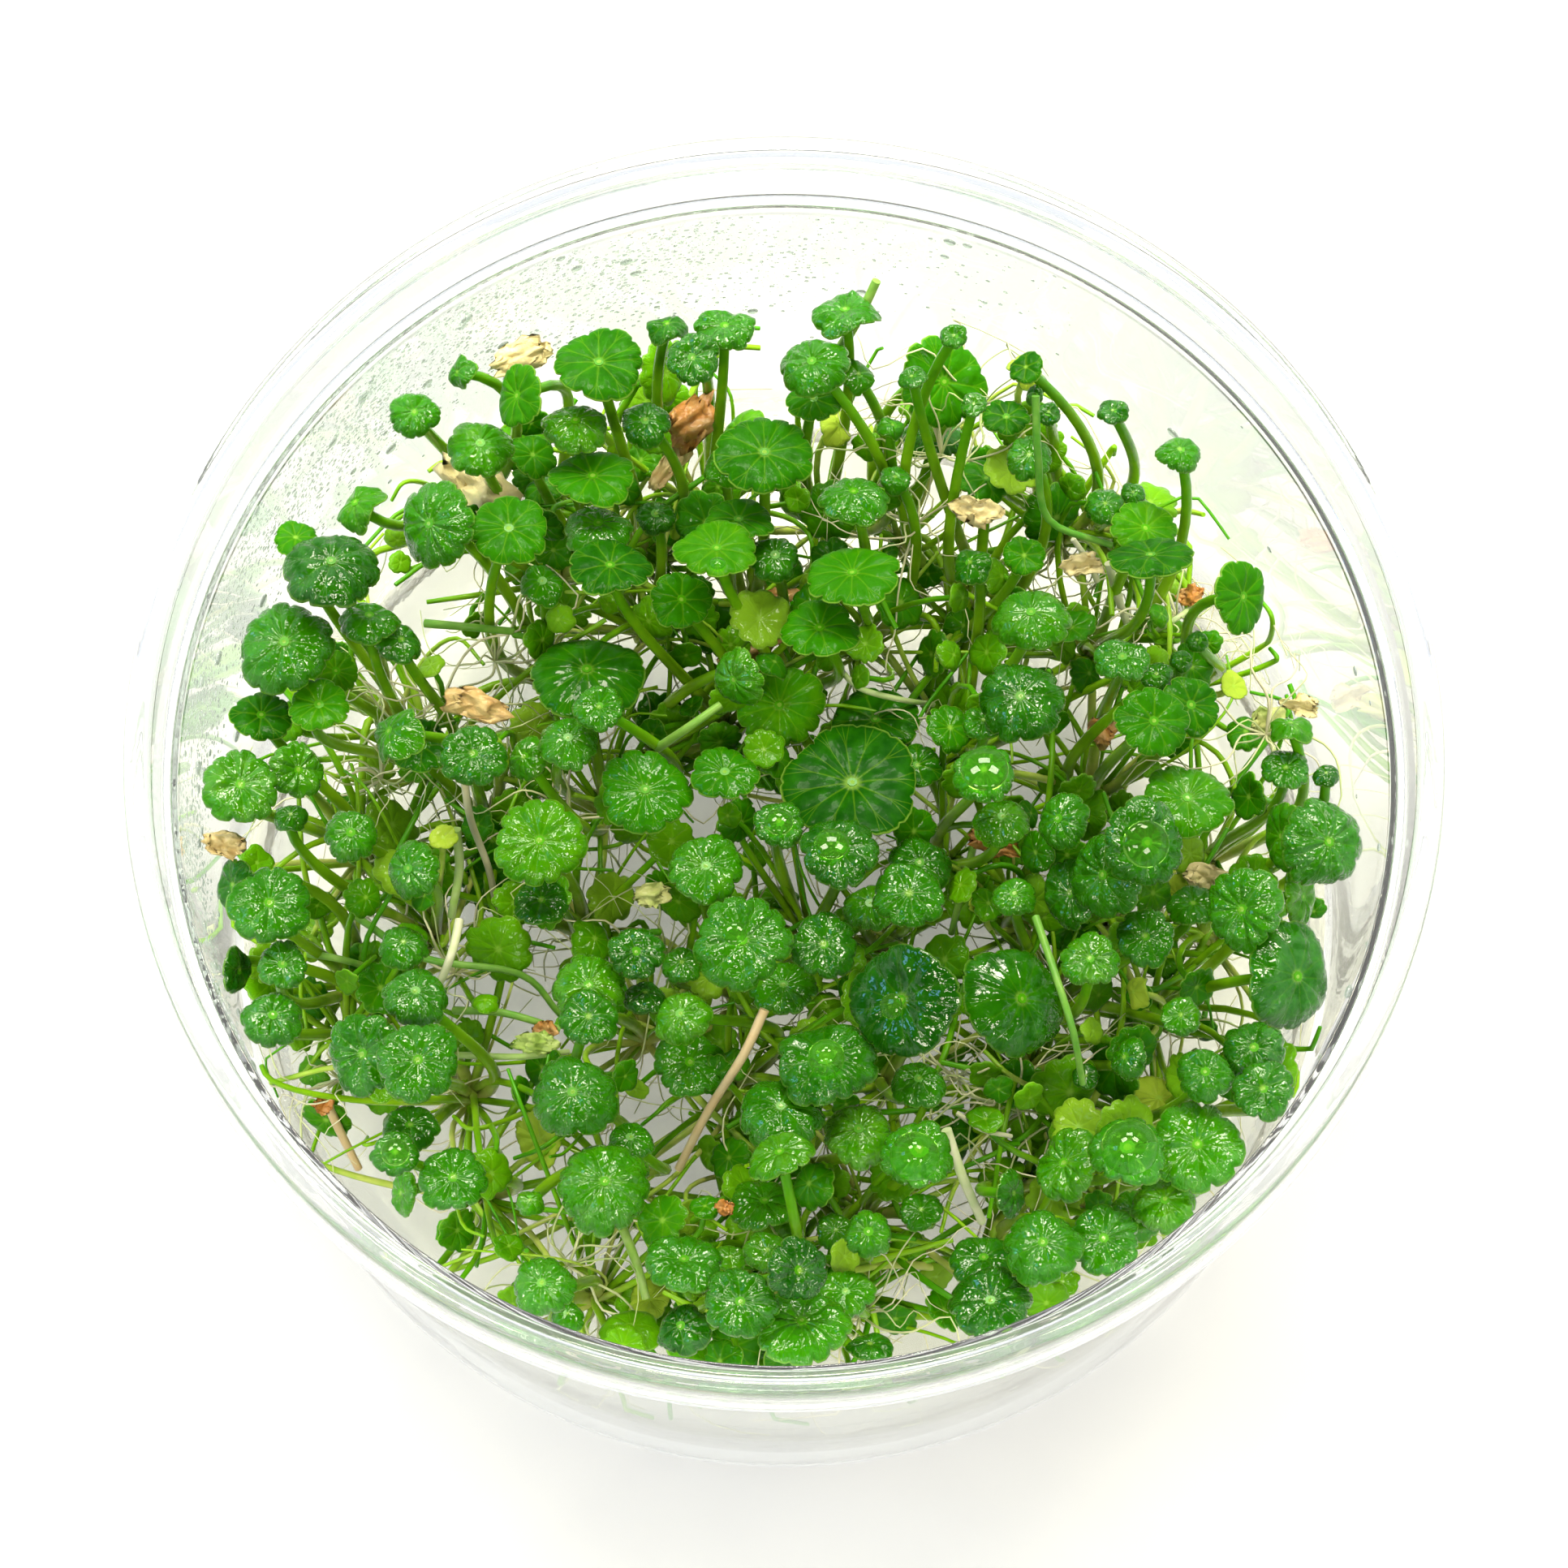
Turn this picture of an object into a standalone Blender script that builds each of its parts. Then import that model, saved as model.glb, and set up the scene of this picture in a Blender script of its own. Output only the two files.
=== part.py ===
"""Whorled pennywort growing on clear gel in an open, clear plastic cup.

The cup stands on the ground plane with its axis on Z. The gel fills its foot. Each plantlet
is one solid: a small crown on the gel, with a slender stalk from the crown to the middle of
every round, scalloped blade. Lengths are in millimetres and become metres in make_object.
"""

import math
from typing import NamedTuple

import bmesh
import bpy
import numpy as np
from mathutils import Matrix, Vector

MM = 0.001

# Cup
FOOT_RADIUS = 46.1
FOOT_BEVEL = 1.6
WALL = 0.7
FLOOR = 0.9
LEDGE_HEIGHT = 50.2
LEDGE_INNER_RADIUS = 48.1
LEDGE_WIDTH = 0.9
RIM_HEIGHT = 57.2
RIM_RADIUS = 50.0
SKIRT_RADIUS = 52.0
SKIRT_FOOT = 51.4
SKIRT_STEP = 0.5
CUP_SIDES = 36

# Gel
GEL_TOP = 13.0
CONTACT_GAP = 0.3

# Plants
CROWN_RADIUS = 1.35
CROWN_RISE = 0.9
CROWN_DEPTH = 0.6
CROWN_PULL = 0.86
LEAST_CORNERS = 6
STALK_FOOT_RADIUS = 0.6
STALK_TOP_RADIUS = 0.48
STALK_STEPS = 3
BLADE_THICKNESS = 0.5
NOTCH_DEPTH = 0.1
EDGE_WAVES = 3
EDGE_POINTS = ((7.3, 16), (5.1, 12), (0.0, 8))

# How a stalk leaves the crown and meets the blade, as shares of its rise and of its bow
LEAVE = 0.35
ARRIVE = 0.3
TOP_BOW = 0.5
BOWS = (2.0, 4.0, 6.0, 8.5, 11.0)
BOW_HEADINGS = 12

# Room that neighbours leave each other
BLADE_ROOM = 0.9
STALK_ROOM = 1.25
WALL_ROOM = 0.45
STALK_WALL_ROOM = 0.95
LIFT_STEP = 0.4
SAMPLE_SPACING = 1.0
SAMPLE_RINGS = (0.33, 0.67, 1.0)
SAMPLES_A_STEP = 8
FAR = 3.0
CANOPY_TOP = 48.6

# Colours (red, green, blue, alpha) and roughness
CUP_CLEAR = (0.86, 0.89, 0.9, 0.3)
CUP_ROUGHNESS = 0.12
GEL_CLEAR = (0.62, 0.66, 0.58, 0.6)
GEL_ROUGHNESS = 0.2
LEAF_GREEN = (0.08, 0.32, 0.03, 1.0)
LEAF_ROUGHNESS = 0.35

# The eye that the plants are laid out from, and the picture in which it sees them
PICTURE_CENTRE = 966
FOCAL_PIXELS = 8000
EYE_ELEVATION = math.radians(72.5)
EYE_DISTANCE = 514.0
EYE_TARGET = Vector((0.0, -1.1, 50.2))
EYE_BACK = Vector((0.0, -math.cos(EYE_ELEVATION), math.sin(EYE_ELEVATION)))
EYE_UP = Vector((0.0, math.sin(EYE_ELEVATION), math.cos(EYE_ELEVATION)))
EYE_RIGHT = Vector((1.0, 0.0, 0.0))
EYE = EYE_TARGET + EYE_BACK * EYE_DISTANCE

# How far a blade's edge stands above its middle, as a share of its radius, and how far it waves
FLAT = (0.05, 0.03)
DOME = (-0.3, 0.04)
CUP = (0.3, 0.05)
RUFFLE = (0.12, 0.14)
CURL = (-0.42, 0.22)


class Leaf(NamedTuple):
    """One blade on its stalk.

    across, down: the middle of the blade in the picture, in pixels.
    width: the blade from edge to edge. height: its middle above the ground plane.
    squash: how much narrower it looks one way than the other.
    lean: the way its upper face leans in the picture, in degrees from the right.
    """

    across: int
    down: int
    width: float
    height: float
    squash: float
    lean: int
    form: tuple


PLANTLETS = {
    "plantlet_01": (
        Leaf(498, 494, 4.4, 42, 0.95, 90, DOME),
        Leaf(563, 458, 3.0, 42, 0.70, 170, CURL),
        Leaf(437, 618, 4.6, 42, 0.60, 135, CURL),
    ),
    "plantlet_02": (
        Leaf(636, 487, 6.1, 43, 0.60, 165, FLAT),
        Leaf(592, 545, 5.8, 39, 0.85, 90, DOME),
        Leaf(657, 560, 4.6, 34, 0.80, 60, FLAT),
    ),
    "plantlet_03": (
        Leaf(738, 445, 8.2, 43, 0.76, 90, FLAT),
        Leaf(709, 517, 5.9, 41, 0.72, 90, DOME),
        Leaf(795, 517, 4.6, 40, 0.88, 100, DOME),
    ),
    "plantlet_04": (
        Leaf(730, 585, 7.5, 39, 0.68, 90, FLAT),
        Leaf(737, 643, 6.4, 37, 0.68, 90, DOME),
        Leaf(808, 632, 3.6, 32, 0.85, 90, DOME),
    ),
    "plantlet_05": (
        Leaf(822, 398, 3.7, 42, 0.62, 90, CURL),
        Leaf(893, 400, 5.4, 42, 0.68, 90, RUFFLE),
        Leaf(853, 440, 4.8, 44, 0.93, 120, CUP),
    ),
    "plantlet_06": (
        Leaf(942, 556, 8.7, 40, 0.80, 80, FLAT),
        Leaf(888, 570, 4.0, 35, 0.80, 120, CURL),
        Leaf(910, 638, 6.2, 37, 0.62, 90, FLAT),
    ),
    "plantlet_07": (
        Leaf(1000, 444, 6.3, 43, 0.82, 110, DOME),
        Leaf(1041, 380, 6.2, 42, 0.52, 95, RUFFLE),
        Leaf(1058, 460, 3.3, 39, 0.85, 60, CURL),
        Leaf(1002, 490, 5.0, 37, 0.80, 90, FLAT),
    ),
    "plantlet_08": (
        Leaf(1164, 470, 8.4, 34, 0.93, 0, FLAT),
        Leaf(1150, 528, 6.0, 27, 0.60, 90, DOME),
        Leaf(1100, 523, 2.6, 35, 0.75, 60, CURL),
    ),
    "plantlet_09": (
        Leaf(1175, 413, 2.5, 47, 0.90, 90, CUP),
        Leaf(1123, 463, 2.7, 45, 0.70, 110, CUP),
        Leaf(1200, 497, 2.4, 44, 0.90, 90, CUP),
    ),
    "plantlet_10": (
        Leaf(1052, 604, 6.2, 39, 0.62, 90, DOME),
        Leaf(1103, 587, 3.0, 36, 0.85, 90, DOME),
        Leaf(1050, 704, 8.6, 40, 0.60, 97, FLAT),
    ),
    "plantlet_11": (
        Leaf(1264, 452, 3.3, 43, 0.80, 120, FLAT),
        Leaf(1292, 507, 2.3, 43, 0.90, 90, DOME),
        Leaf(1273, 487, 1.9, 41, 0.80, 170, CUP),
        Leaf(1240, 513, 4.2, 37, 0.75, 90, FLAT),
    ),
    "plantlet_12": (
        Leaf(1268, 560, 4.2, 40, 0.92, 90, DOME),
        Leaf(1215, 588, 5.5, 32, 0.70, 90, FLAT),
        Leaf(1262, 684, 3.7, 35, 0.95, 90, FLAT),
    ),
    "plantlet_13": (
        Leaf(1371, 505, 2.9, 44, 0.75, 100, CUP),
        Leaf(1362, 620, 3.4, 39, 0.93, 90, DOME),
        Leaf(1396, 606, 2.3, 37, 0.90, 90, DOME),
    ),
    "plantlet_14": (
        Leaf(1454, 553, 4.0, 44, 0.76, 80, DOME),
        Leaf(1412, 650, 6.2, 39, 0.78, 60, FLAT),
        Leaf(1418, 682, 7.4, 43, 0.46, 92, FLAT),
    ),
    "plantlet_15": (
        Leaf(1533, 735, 6.6, 42, 0.66, 0, FLAT),
        Leaf(1475, 788, 2.1, 38, 0.90, 90, DOME),
        Leaf(1455, 812, 2.2, 36, 0.90, 90, DOME),
    ),
    "plantlet_16": (
        Leaf(1270, 753, 6.9, 40, 0.78, 100, DOME),
        Leaf(1195, 692, 3.8, 35, 0.80, 120, CURL),
        Leaf(1257, 857, 7.7, 40, 0.92, 100, DOME),
        Leaf(1212, 887, 4.0, 36, 0.75, 90, CUP),
    ),
    "plantlet_17": (
        Leaf(1383, 808, 4.8, 42, 0.78, 90, RUFFLE),
        Leaf(1422, 888, 6.6, 42, 0.92, 45, FLAT),
        Leaf(1425, 830, 3.0, 37, 0.90, 90, DOME),
        Leaf(1468, 868, 5.6, 39, 0.90, 45, FLAT),
    ),
    "plantlet_18": (
        Leaf(1590, 890, 3.8, 43, 0.50, 90, CURL),
        Leaf(1584, 945, 4.2, 42, 0.80, 90, CUP),
        Leaf(1634, 952, 2.4, 42, 0.80, 90, DOME),
    ),
    "plantlet_19": (
        Leaf(1638, 1037, 7.8, 45, 0.90, 10, DOME),
        Leaf(1577, 1030, 6.2, 41, 0.55, 180, FLAT),
        Leaf(1607, 1105, 5.2, 37, 0.50, 0, FLAT),
    ),
    "plantlet_20": (
        Leaf(1463, 982, 7.9, 40, 0.80, 80, FLAT),
        Leaf(1412, 1038, 7.6, 44, 0.96, 0, CUP),
        Leaf(1470, 1112, 4.6, 34, 0.75, 90, FLAT),
    ),
    "plantlet_21": (
        Leaf(1212, 950, 5.7, 41, 0.88, 90, CUP),
        Leaf(1235, 1005, 5.0, 35, 0.80, 90, DOME),
        Leaf(1130, 942, 4.5, 30, 0.90, 90, FLAT),
    ),
    "plantlet_22": (
        Leaf(1358, 1078, 7.6, 40, 0.82, 180, CUP),
        Leaf(1303, 1008, 5.2, 39, 0.85, 150, DOME),
        Leaf(1318, 1100, 6.4, 36, 0.82, 170, CUP),
        Leaf(1276, 1050, 3.8, 34, 0.80, 180, FLAT),
    ),
    "plantlet_23": (
        Leaf(1530, 1120, 7.3, 43, 0.94, 180, CUP),
        Leaf(1600, 1203, 9.2, 41, 0.78, 0, DOME),
    ),
    "plantlet_24": (
        Leaf(1411, 1153, 5.4, 37, 0.95, 90, FLAT),
        Leaf(1343, 1180, 5.0, 40, 0.92, 90, CUP),
        Leaf(1455, 1250, 3.7, 37, 0.93, 90, CUP),
        Leaf(1250, 1100, 3.9, 37, 0.90, 90, DOME),
    ),
    "plantlet_25": (
        Leaf(1260, 1230, 10.0, 37, 0.84, 20, DOME),
        Leaf(1385, 1302, 3.8, 36, 0.80, 160, DOME),
        Leaf(1338, 1325, 2.5, 30, 0.90, 90, FLAT),
    ),
    "plantlet_26": (
        Leaf(1110, 1232, 10.2, 41, 0.88, 180, CUP),
        Leaf(1132, 1328, 5.0, 36, 0.80, 90, DOME),
    ),
    "plantlet_27": (
        Leaf(1120, 1100, 6.4, 39, 0.90, 90, CUP),
        Leaf(1133, 1062, 5.6, 34, 0.92, 90, DOME),
        Leaf(1072, 1112, 4.6, 33, 0.85, 90, DOME),
    ),
    "plantlet_28": (
        Leaf(1050, 963, 12.0, 34, 0.82, 90, FLAT),
        Leaf(960, 868, 8.2, 30, 0.92, 90, FLAT),
        Leaf(1078, 885, 8.2, 27, 0.75, 90, FLAT),
    ),
    "plantlet_29": (
        Leaf(1010, 772, 7.1, 38, 0.70, 90, FLAT),
        Leaf(955, 683, 4.6, 36, 0.88, 80, DOME),
        Leaf(883, 674, 7.4, 40, 0.67, 90, FLAT),
    ),
    "plantlet_30": (
        Leaf(752, 695, 7.3, 40, 0.66, 85, FLAT),
        Leaf(840, 738, 5.6, 36, 0.90, 60, FLAT),
        Leaf(893, 950, 5.9, 37, 0.80, 90, FLAT),
    ),
    "plantlet_31": (
        Leaf(795, 972, 8.2, 36, 0.90, 90, FLAT),
        Leaf(903, 838, 5.2, 39, 0.80, 200, DOME),
    ),
    "plantlet_32": (
        Leaf(627, 650, 7.2, 40, 0.82, 90, FLAT),
        Leaf(528, 645, 7.5, 40, 0.85, 170, DOME),
        Leaf(668, 715, 4.2, 35, 0.85, 90, CURL),
    ),
    "plantlet_33": (
        Leaf(408, 690, 8.2, 44, 0.78, 90, DOME),
        Leaf(352, 655, 4.0, 43, 0.76, 90, FLAT),
        Leaf(350, 790, 8.5, 44, 0.93, 110, DOME),
    ),
    "plantlet_34": (
        Leaf(455, 757, 5.3, 41, 0.66, 90, DOME),
        Leaf(495, 787, 4.2, 39, 0.80, 60, DOME),
        Leaf(393, 867, 5.3, 41, 0.84, 90, FLAT),
        Leaf(414, 826, 4.2, 36, 0.85, 60, FLAT),
    ),
    "plantlet_35": (
        Leaf(322, 880, 5.4, 39, 0.82, 90, FLAT),
        Leaf(296, 966, 6.9, 45, 0.92, 90, CUP),
        Leaf(368, 948, 5.1, 42, 0.90, 20, CUP),
    ),
    "plantlet_36": (
        Leaf(478, 900, 5.6, 39, 0.55, 150, CURL),
        Leaf(583, 928, 5.9, 39, 0.94, 90, CUP),
        Leaf(520, 918, 5.4, 30, 0.85, 90, FLAT),
    ),
    "plantlet_37": (
        Leaf(723, 823, 9.8, 34, 0.78, 90, DOME),
        Leaf(738, 870, 4.5, 40, 0.90, 90, CUP),
        Leaf(700, 908, 5.4, 38, 0.84, 90, DOME),
        Leaf(645, 932, 4.0, 35, 0.85, 150, DOME),
    ),
    "plantlet_38": (
        Leaf(432, 1025, 4.9, 39, 0.94, 90, DOME),
        Leaf(502, 1070, 5.3, 39, 0.86, 160, DOME),
        Leaf(358, 1003, 3.0, 36, 0.85, 90, CURL),
        Leaf(497, 1160, 4.4, 36, 0.82, 90, DOME),
    ),
    "plantlet_39": (
        Leaf(332, 1112, 7.1, 42, 0.95, 90, FLAT),
        Leaf(286, 1090, 4.7, 39, 0.68, 180, FLAT),
        Leaf(348, 1187, 4.5, 40, 0.92, 90, CUP),
    ),
    "plantlet_40": (
        Leaf(336, 1250, 5.3, 40, 0.93, 90, DOME),
        Leaf(296, 1195, 4.2, 37, 0.52, 0, FLAT),
    ),
    "plantlet_41": (
        Leaf(515, 1305, 7.2, 43, 0.95, 90, CUP),
        Leaf(446, 1298, 7.2, 39, 0.92, 180, CUP),
        Leaf(512, 1220, 5.8, 37, 0.86, 90, DOME),
        Leaf(505, 1385, 5.2, 34, 0.72, 90, FLAT),
    ),
    "plantlet_42": (
        Leaf(558, 1450, 6.0, 40, 0.94, 90, FLAT),
        Leaf(487, 1420, 4.2, 42, 0.94, 90, CUP),
        Leaf(493, 1470, 4.0, 36, 0.52, 180, FLAT),
    ),
    "plantlet_43": (
        Leaf(665, 1035, 8.0, 38, 0.96, 90, FLAT),
        Leaf(667, 1108, 5.0, 32, 0.85, 90, FLAT),
    ),
    "plantlet_44": (
        Leaf(784, 1172, 4.9, 39, 0.96, 90, CUP),
        Leaf(795, 1222, 3.9, 36, 0.70, 90, DOME),
        Leaf(725, 1213, 6.8, 36, 0.93, 90, DOME),
        Leaf(725, 1252, 5.2, 40, 0.93, 90, CUP),
    ),
    "plantlet_45": (
        Leaf(915, 1158, 8.3, 41, 0.96, 90, CUP),
        Leaf(870, 1066, 6.9, 38, 0.84, 90, CUP),
        Leaf(840, 1185, 3.6, 33, 0.90, 90, DOME),
        Leaf(965, 1212, 6.0, 33, 0.78, 90, FLAT),
    ),
    "plantlet_46": (
        Leaf(1035, 1045, 6.9, 40, 0.86, 90, CUP),
        Leaf(960, 1013, 4.5, 39, 0.92, 90, CUP),
        Leaf(1015, 1163, 6.1, 38, 0.95, 90, CUP),
    ),
    "plantlet_47": (
        Leaf(1017, 1302, 8.6, 40, 0.84, 90, RUFFLE),
        Leaf(850, 1308, 6.2, 33, 0.96, 90, FLAT),
        Leaf(838, 1248, 5.2, 37, 0.88, 120, DOME),
    ),
    "plantlet_48": (
        Leaf(705, 1345, 7.5, 41, 0.94, 110, DOME),
        Leaf(745, 1455, 8.2, 40, 0.94, 90, DOME),
        Leaf(777, 1400, 4.2, 36, 0.80, 90, DOME),
        Leaf(653, 1478, 2.6, 38, 0.90, 90, CURL),
    ),
    "plantlet_49": (
        Leaf(962, 1362, 7.6, 39, 0.82, 90, DOME),
        Leaf(960, 1418, 6.0, 42, 0.60, 110, FLAT),
        Leaf(1058, 1390, 6.2, 37, 0.90, 90, DOME),
        Leaf(942, 1478, 6.4, 31, 0.66, 90, FLAT),
    ),
    "plantlet_50": (
        Leaf(1130, 1420, 6.2, 41, 0.96, 90, RUFFLE),
        Leaf(1135, 1490, 3.8, 33, 0.88, 90, FLAT),
        Leaf(1070, 1517, 4.2, 38, 0.95, 90, DOME),
        Leaf(1030, 1515, 3.6, 32, 0.88, 90, FLAT),
    ),
    "plantlet_51": (
        Leaf(1310, 1432, 6.4, 39, 0.82, 150, RUFFLE),
        Leaf(1390, 1415, 6.8, 44, 0.88, 90, CUP),
        Leaf(1250, 1470, 4.2, 37, 0.55, 0, FLAT),
    ),
    "plantlet_52": (
        Leaf(1485, 1320, 5.0, 43, 0.95, 90, DOME),
        Leaf(1545, 1290, 5.6, 42, 0.94, 90, DOME),
        Leaf(1560, 1343, 5.4, 45, 0.94, 90, CUP),
    ),
    "plantlet_53": (
        Leaf(1478, 1412, 8.0, 42, 0.95, 90, FLAT),
        Leaf(1440, 1482, 5.6, 40, 0.92, 90, DOME),
        Leaf(1397, 1492, 4.8, 37, 0.90, 90, DOME),
    ),
    "plantlet_54": (
        Leaf(1285, 1530, 6.8, 43, 0.94, 90, DOME),
        Leaf(1360, 1525, 6.2, 41, 0.94, 90, FLAT),
        Leaf(1212, 1548, 5.8, 37, 0.74, 90, FLAT),
        Leaf(1222, 1605, 7.2, 42, 0.84, 90, RUFFLE),
    ),
    "plantlet_55": (
        Leaf(988, 1626, 8.2, 42, 0.78, 90, FLAT),
        Leaf(1042, 1590, 5.0, 36, 0.86, 90, FLAT),
        Leaf(1072, 1655, 4.2, 39, 0.55, 90, FLAT),
    ),
    "plantlet_56": (
        Leaf(912, 1603, 6.4, 43, 0.94, 90, CUP),
        Leaf(985, 1565, 5.6, 45, 0.90, 0, CUP),
        Leaf(945, 1540, 4.0, 38, 0.88, 90, FLAT),
    ),
    "plantlet_57": (
        Leaf(843, 1550, 7.0, 42, 0.70, 90, CUP),
        Leaf(838, 1633, 4.8, 41, 0.88, 130, DOME),
        Leaf(900, 1548, 3.0, 35, 0.80, 90, FLAT),
    ),
    "plantlet_58": (
        Leaf(667, 1580, 5.4, 42, 0.93, 120, DOME),
        Leaf(700, 1618, 3.0, 37, 0.85, 90, DOME),
    ),
}

# Feet that show between the leaves, in the picture
FEET = {
    "plantlet_01": (578, 640),
    "plantlet_09": (1204, 712),
    "plantlet_11": (1302, 668),
    "plantlet_13": (1350, 668),
    "plantlet_15": (1462, 850),
    "plantlet_23": (1418, 1262),
    "plantlet_30": (888, 915),
    "plantlet_31": (815, 930),
}


def sight(across, down):
    """The direction from the eye through a place in the picture."""
    right = EYE_RIGHT * ((across - PICTURE_CENTRE) / FOCAL_PIXELS)
    up = EYE_UP * ((PICTURE_CENTRE - down) / FOCAL_PIXELS)
    return (right + up - EYE_BACK).normalized()


def wall_radius(height):
    """The cup's inner radius at a height, up to its ledge."""
    foot = FOOT_RADIUS - WALL
    return foot + (LEDGE_INNER_RADIUS - foot) * min(height / LEDGE_HEIGHT, 1.0)


class Blade:
    """A round blade in space: its middle, its axes and its dished, wavy edge."""

    def __init__(self, leaf):
        self.leaf = leaf
        self.radius = leaf.width / 2
        self.rise, self.wave = leaf.form
        self.points = next(count for least, count in EDGE_POINTS if leaf.width >= least)
        self.put_at(leaf.height)

    def put_at(self, height):
        """Slides the blade along its line of sight to a height, and in from the cup's wall."""
        ray = sight(self.leaf.across, self.leaf.down)
        self.height = height
        self.middle = EYE + ray * ((height - EYE.z) / ray.z)
        towards_eye = -ray
        right = (EYE_RIGHT - towards_eye * EYE_RIGHT.dot(towards_eye)).normalized()
        up = towards_eye.cross(right)
        lean = math.radians(self.leaf.lean)
        turn = math.acos(self.leaf.squash)
        aside = right * math.cos(lean) + up * math.sin(lean)
        self.normal = (towards_eye * math.cos(turn) + aside * math.sin(turn)).normalized()
        self.first = (EYE_RIGHT - self.normal * EYE_RIGHT.dot(self.normal)).normalized()
        self.second = self.normal.cross(self.first)
        outermost = max(self.rim(), key=lambda p: p.xy.length)
        excess = outermost.xy.length + WALL_ROOM - wall_radius(outermost.z)
        if excess > 0:
            outward = Vector((self.middle.x, self.middle.y, 0.0)).normalized()
            self.middle -= outward * excess / outward.xy.dot(outermost.xy.normalized())

    def at(self, share, angle, tuck=0.0):
        """A point of the blade at a share of its radius and an angle round its middle."""
        reach = self.radius * share
        lift = reach * (self.rise + self.wave * math.sin(EDGE_WAVES * angle + self.leaf.across))
        outward = self.first * math.cos(angle) + self.second * math.sin(angle)
        return self.middle + outward * (reach * (1 - tuck)) + self.normal * lift

    def rim(self):
        """The edge's points, with every second one drawn in as a notch between two lobes."""
        step = 2 * math.pi / self.points
        return [self.at(1.0, step * i, NOTCH_DEPTH * (i % 2)) for i in range(self.points)]

    def samples(self):
        """Points spread over the blade, for measuring its distance to others."""
        spread = [self.middle]
        for share in SAMPLE_RINGS:
            count = max(6, int(2 * math.pi * self.radius * share / SAMPLE_SPACING))
            spread += [self.at(share, 2 * math.pi * i / count) for i in range(count)]
        return np.array(spread)


class Stalk:
    """A stalk from a crown to the underside of a blade, as a chain of points."""

    def __init__(self, foot, blade, sway):
        self.blade = blade
        top = blade.middle - blade.normal * BLADE_THICKNESS
        rise = top.z - foot.z
        leave = foot + Vector((0, 0, LEAVE * rise)) + sway
        arrive = top - blade.normal * (ARRIVE * rise) + sway * TOP_BOW
        shares = [i / STALK_STEPS for i in range(STALK_STEPS + 1)]
        self.points = [self.bezier(foot, leave, arrive, top, share) for share in shares]

    @staticmethod
    def bezier(a, b, c, d, t):
        """A point on the smooth curve from a to d that b and c pull."""
        s = 1 - t
        return a * s**3 + b * (3 * s * s * t) + c * (3 * s * t * t) + d * t**3

    def samples(self):
        """Points along the stalk, from just above the crown to just under the blade."""
        spread = []
        for a, b in zip(self.points, self.points[1:]):
            spread += [a.lerp(b, k / SAMPLES_A_STEP) for k in range(SAMPLES_A_STEP)]
        return np.array(spread[3:-2])


def distance(a, b):
    """The least distance between two clouds of points, or FAR where it is more than that."""
    near = b[((b > a.min(0) - FAR) & (b < a.max(0) + FAR)).all(1)]
    if not len(near):
        return FAR
    return min(FAR, float(np.sqrt(((a[:, None] - near[None]) ** 2).sum(2).min())))


def lift_blades(blades):
    """Lifts each blade, the lowest first, until it clears those already placed."""
    placed = np.empty((0, 3))
    for blade in sorted(blades, key=lambda b: b.height):
        while len(placed) and distance(blade.samples(), placed) < BLADE_ROOM:
            if blade.height + LIFT_STEP > CANOPY_TOP:
                break
            blade.put_at(blade.height + LIFT_STEP)
        placed = np.vstack((placed, blade.samples()))


def crown_place(name, blades):
    """The crown stands on the gel where its foot shows, or else under the middle of its blades."""
    height = GEL_TOP + CONTACT_GAP + CROWN_DEPTH
    if name in FEET:
        ray = sight(*FEET[name])
        return EYE + ray * ((height - EYE.z) / ray.z)
    middle = sum((b.middle for b in blades), Vector()) / len(blades)
    return Vector((middle.x * CROWN_PULL, middle.y * CROWN_PULL, height))


def sways():
    """The ways a stalk may bow on its way up, from straight to strongly bowed."""
    yield Vector((0.0, 0.0, 0.0))
    for reach in BOWS:
        for step in range(BOW_HEADINGS):
            angle = 2 * math.pi * step / BOW_HEADINGS
            yield Vector((reach * math.cos(angle), reach * math.sin(angle), 0.0))


def room_round(stalk, others, laid):
    """The least room between a stalk and the other blades, the laid stalks and the wall."""
    own = stalk.samples()
    limits = np.array([wall_radius(height) for height in own[:, 2]])
    wall_room = (limits - np.hypot(own[:, 0], own[:, 1])).min()
    return min(
        distance(own, others),
        distance(own, laid),
        float(wall_room) + STALK_ROOM - STALK_WALL_ROOM,
    )


def route_stalks(plants):
    """Gives each blade, the largest first, a stalk that keeps clear of all that is in its way."""
    crowns = {name: crown_place(name, group) for name, group in plants.items()}
    pairs = [(name, blade) for name, group in plants.items() for blade in group]
    clouds = {id(blade): blade.samples() for _, blade in pairs}
    stalks = {}
    laid = np.empty((0, 3))
    for name, blade in sorted(pairs, key=lambda pair: -pair[1].radius):
        others = np.vstack([cloud for key, cloud in clouds.items() if key != id(blade)])
        best, best_room = None, -FAR
        for sway in sways():
            stalk = Stalk(crowns[name], blade, sway)
            room = room_round(stalk, others, laid)
            if room > best_room:
                best, best_room = stalk, room
            if room > STALK_ROOM:
                break
        stalks[id(blade)] = best
        laid = np.vstack((laid, best.samples()))
    return crowns, stalks


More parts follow.
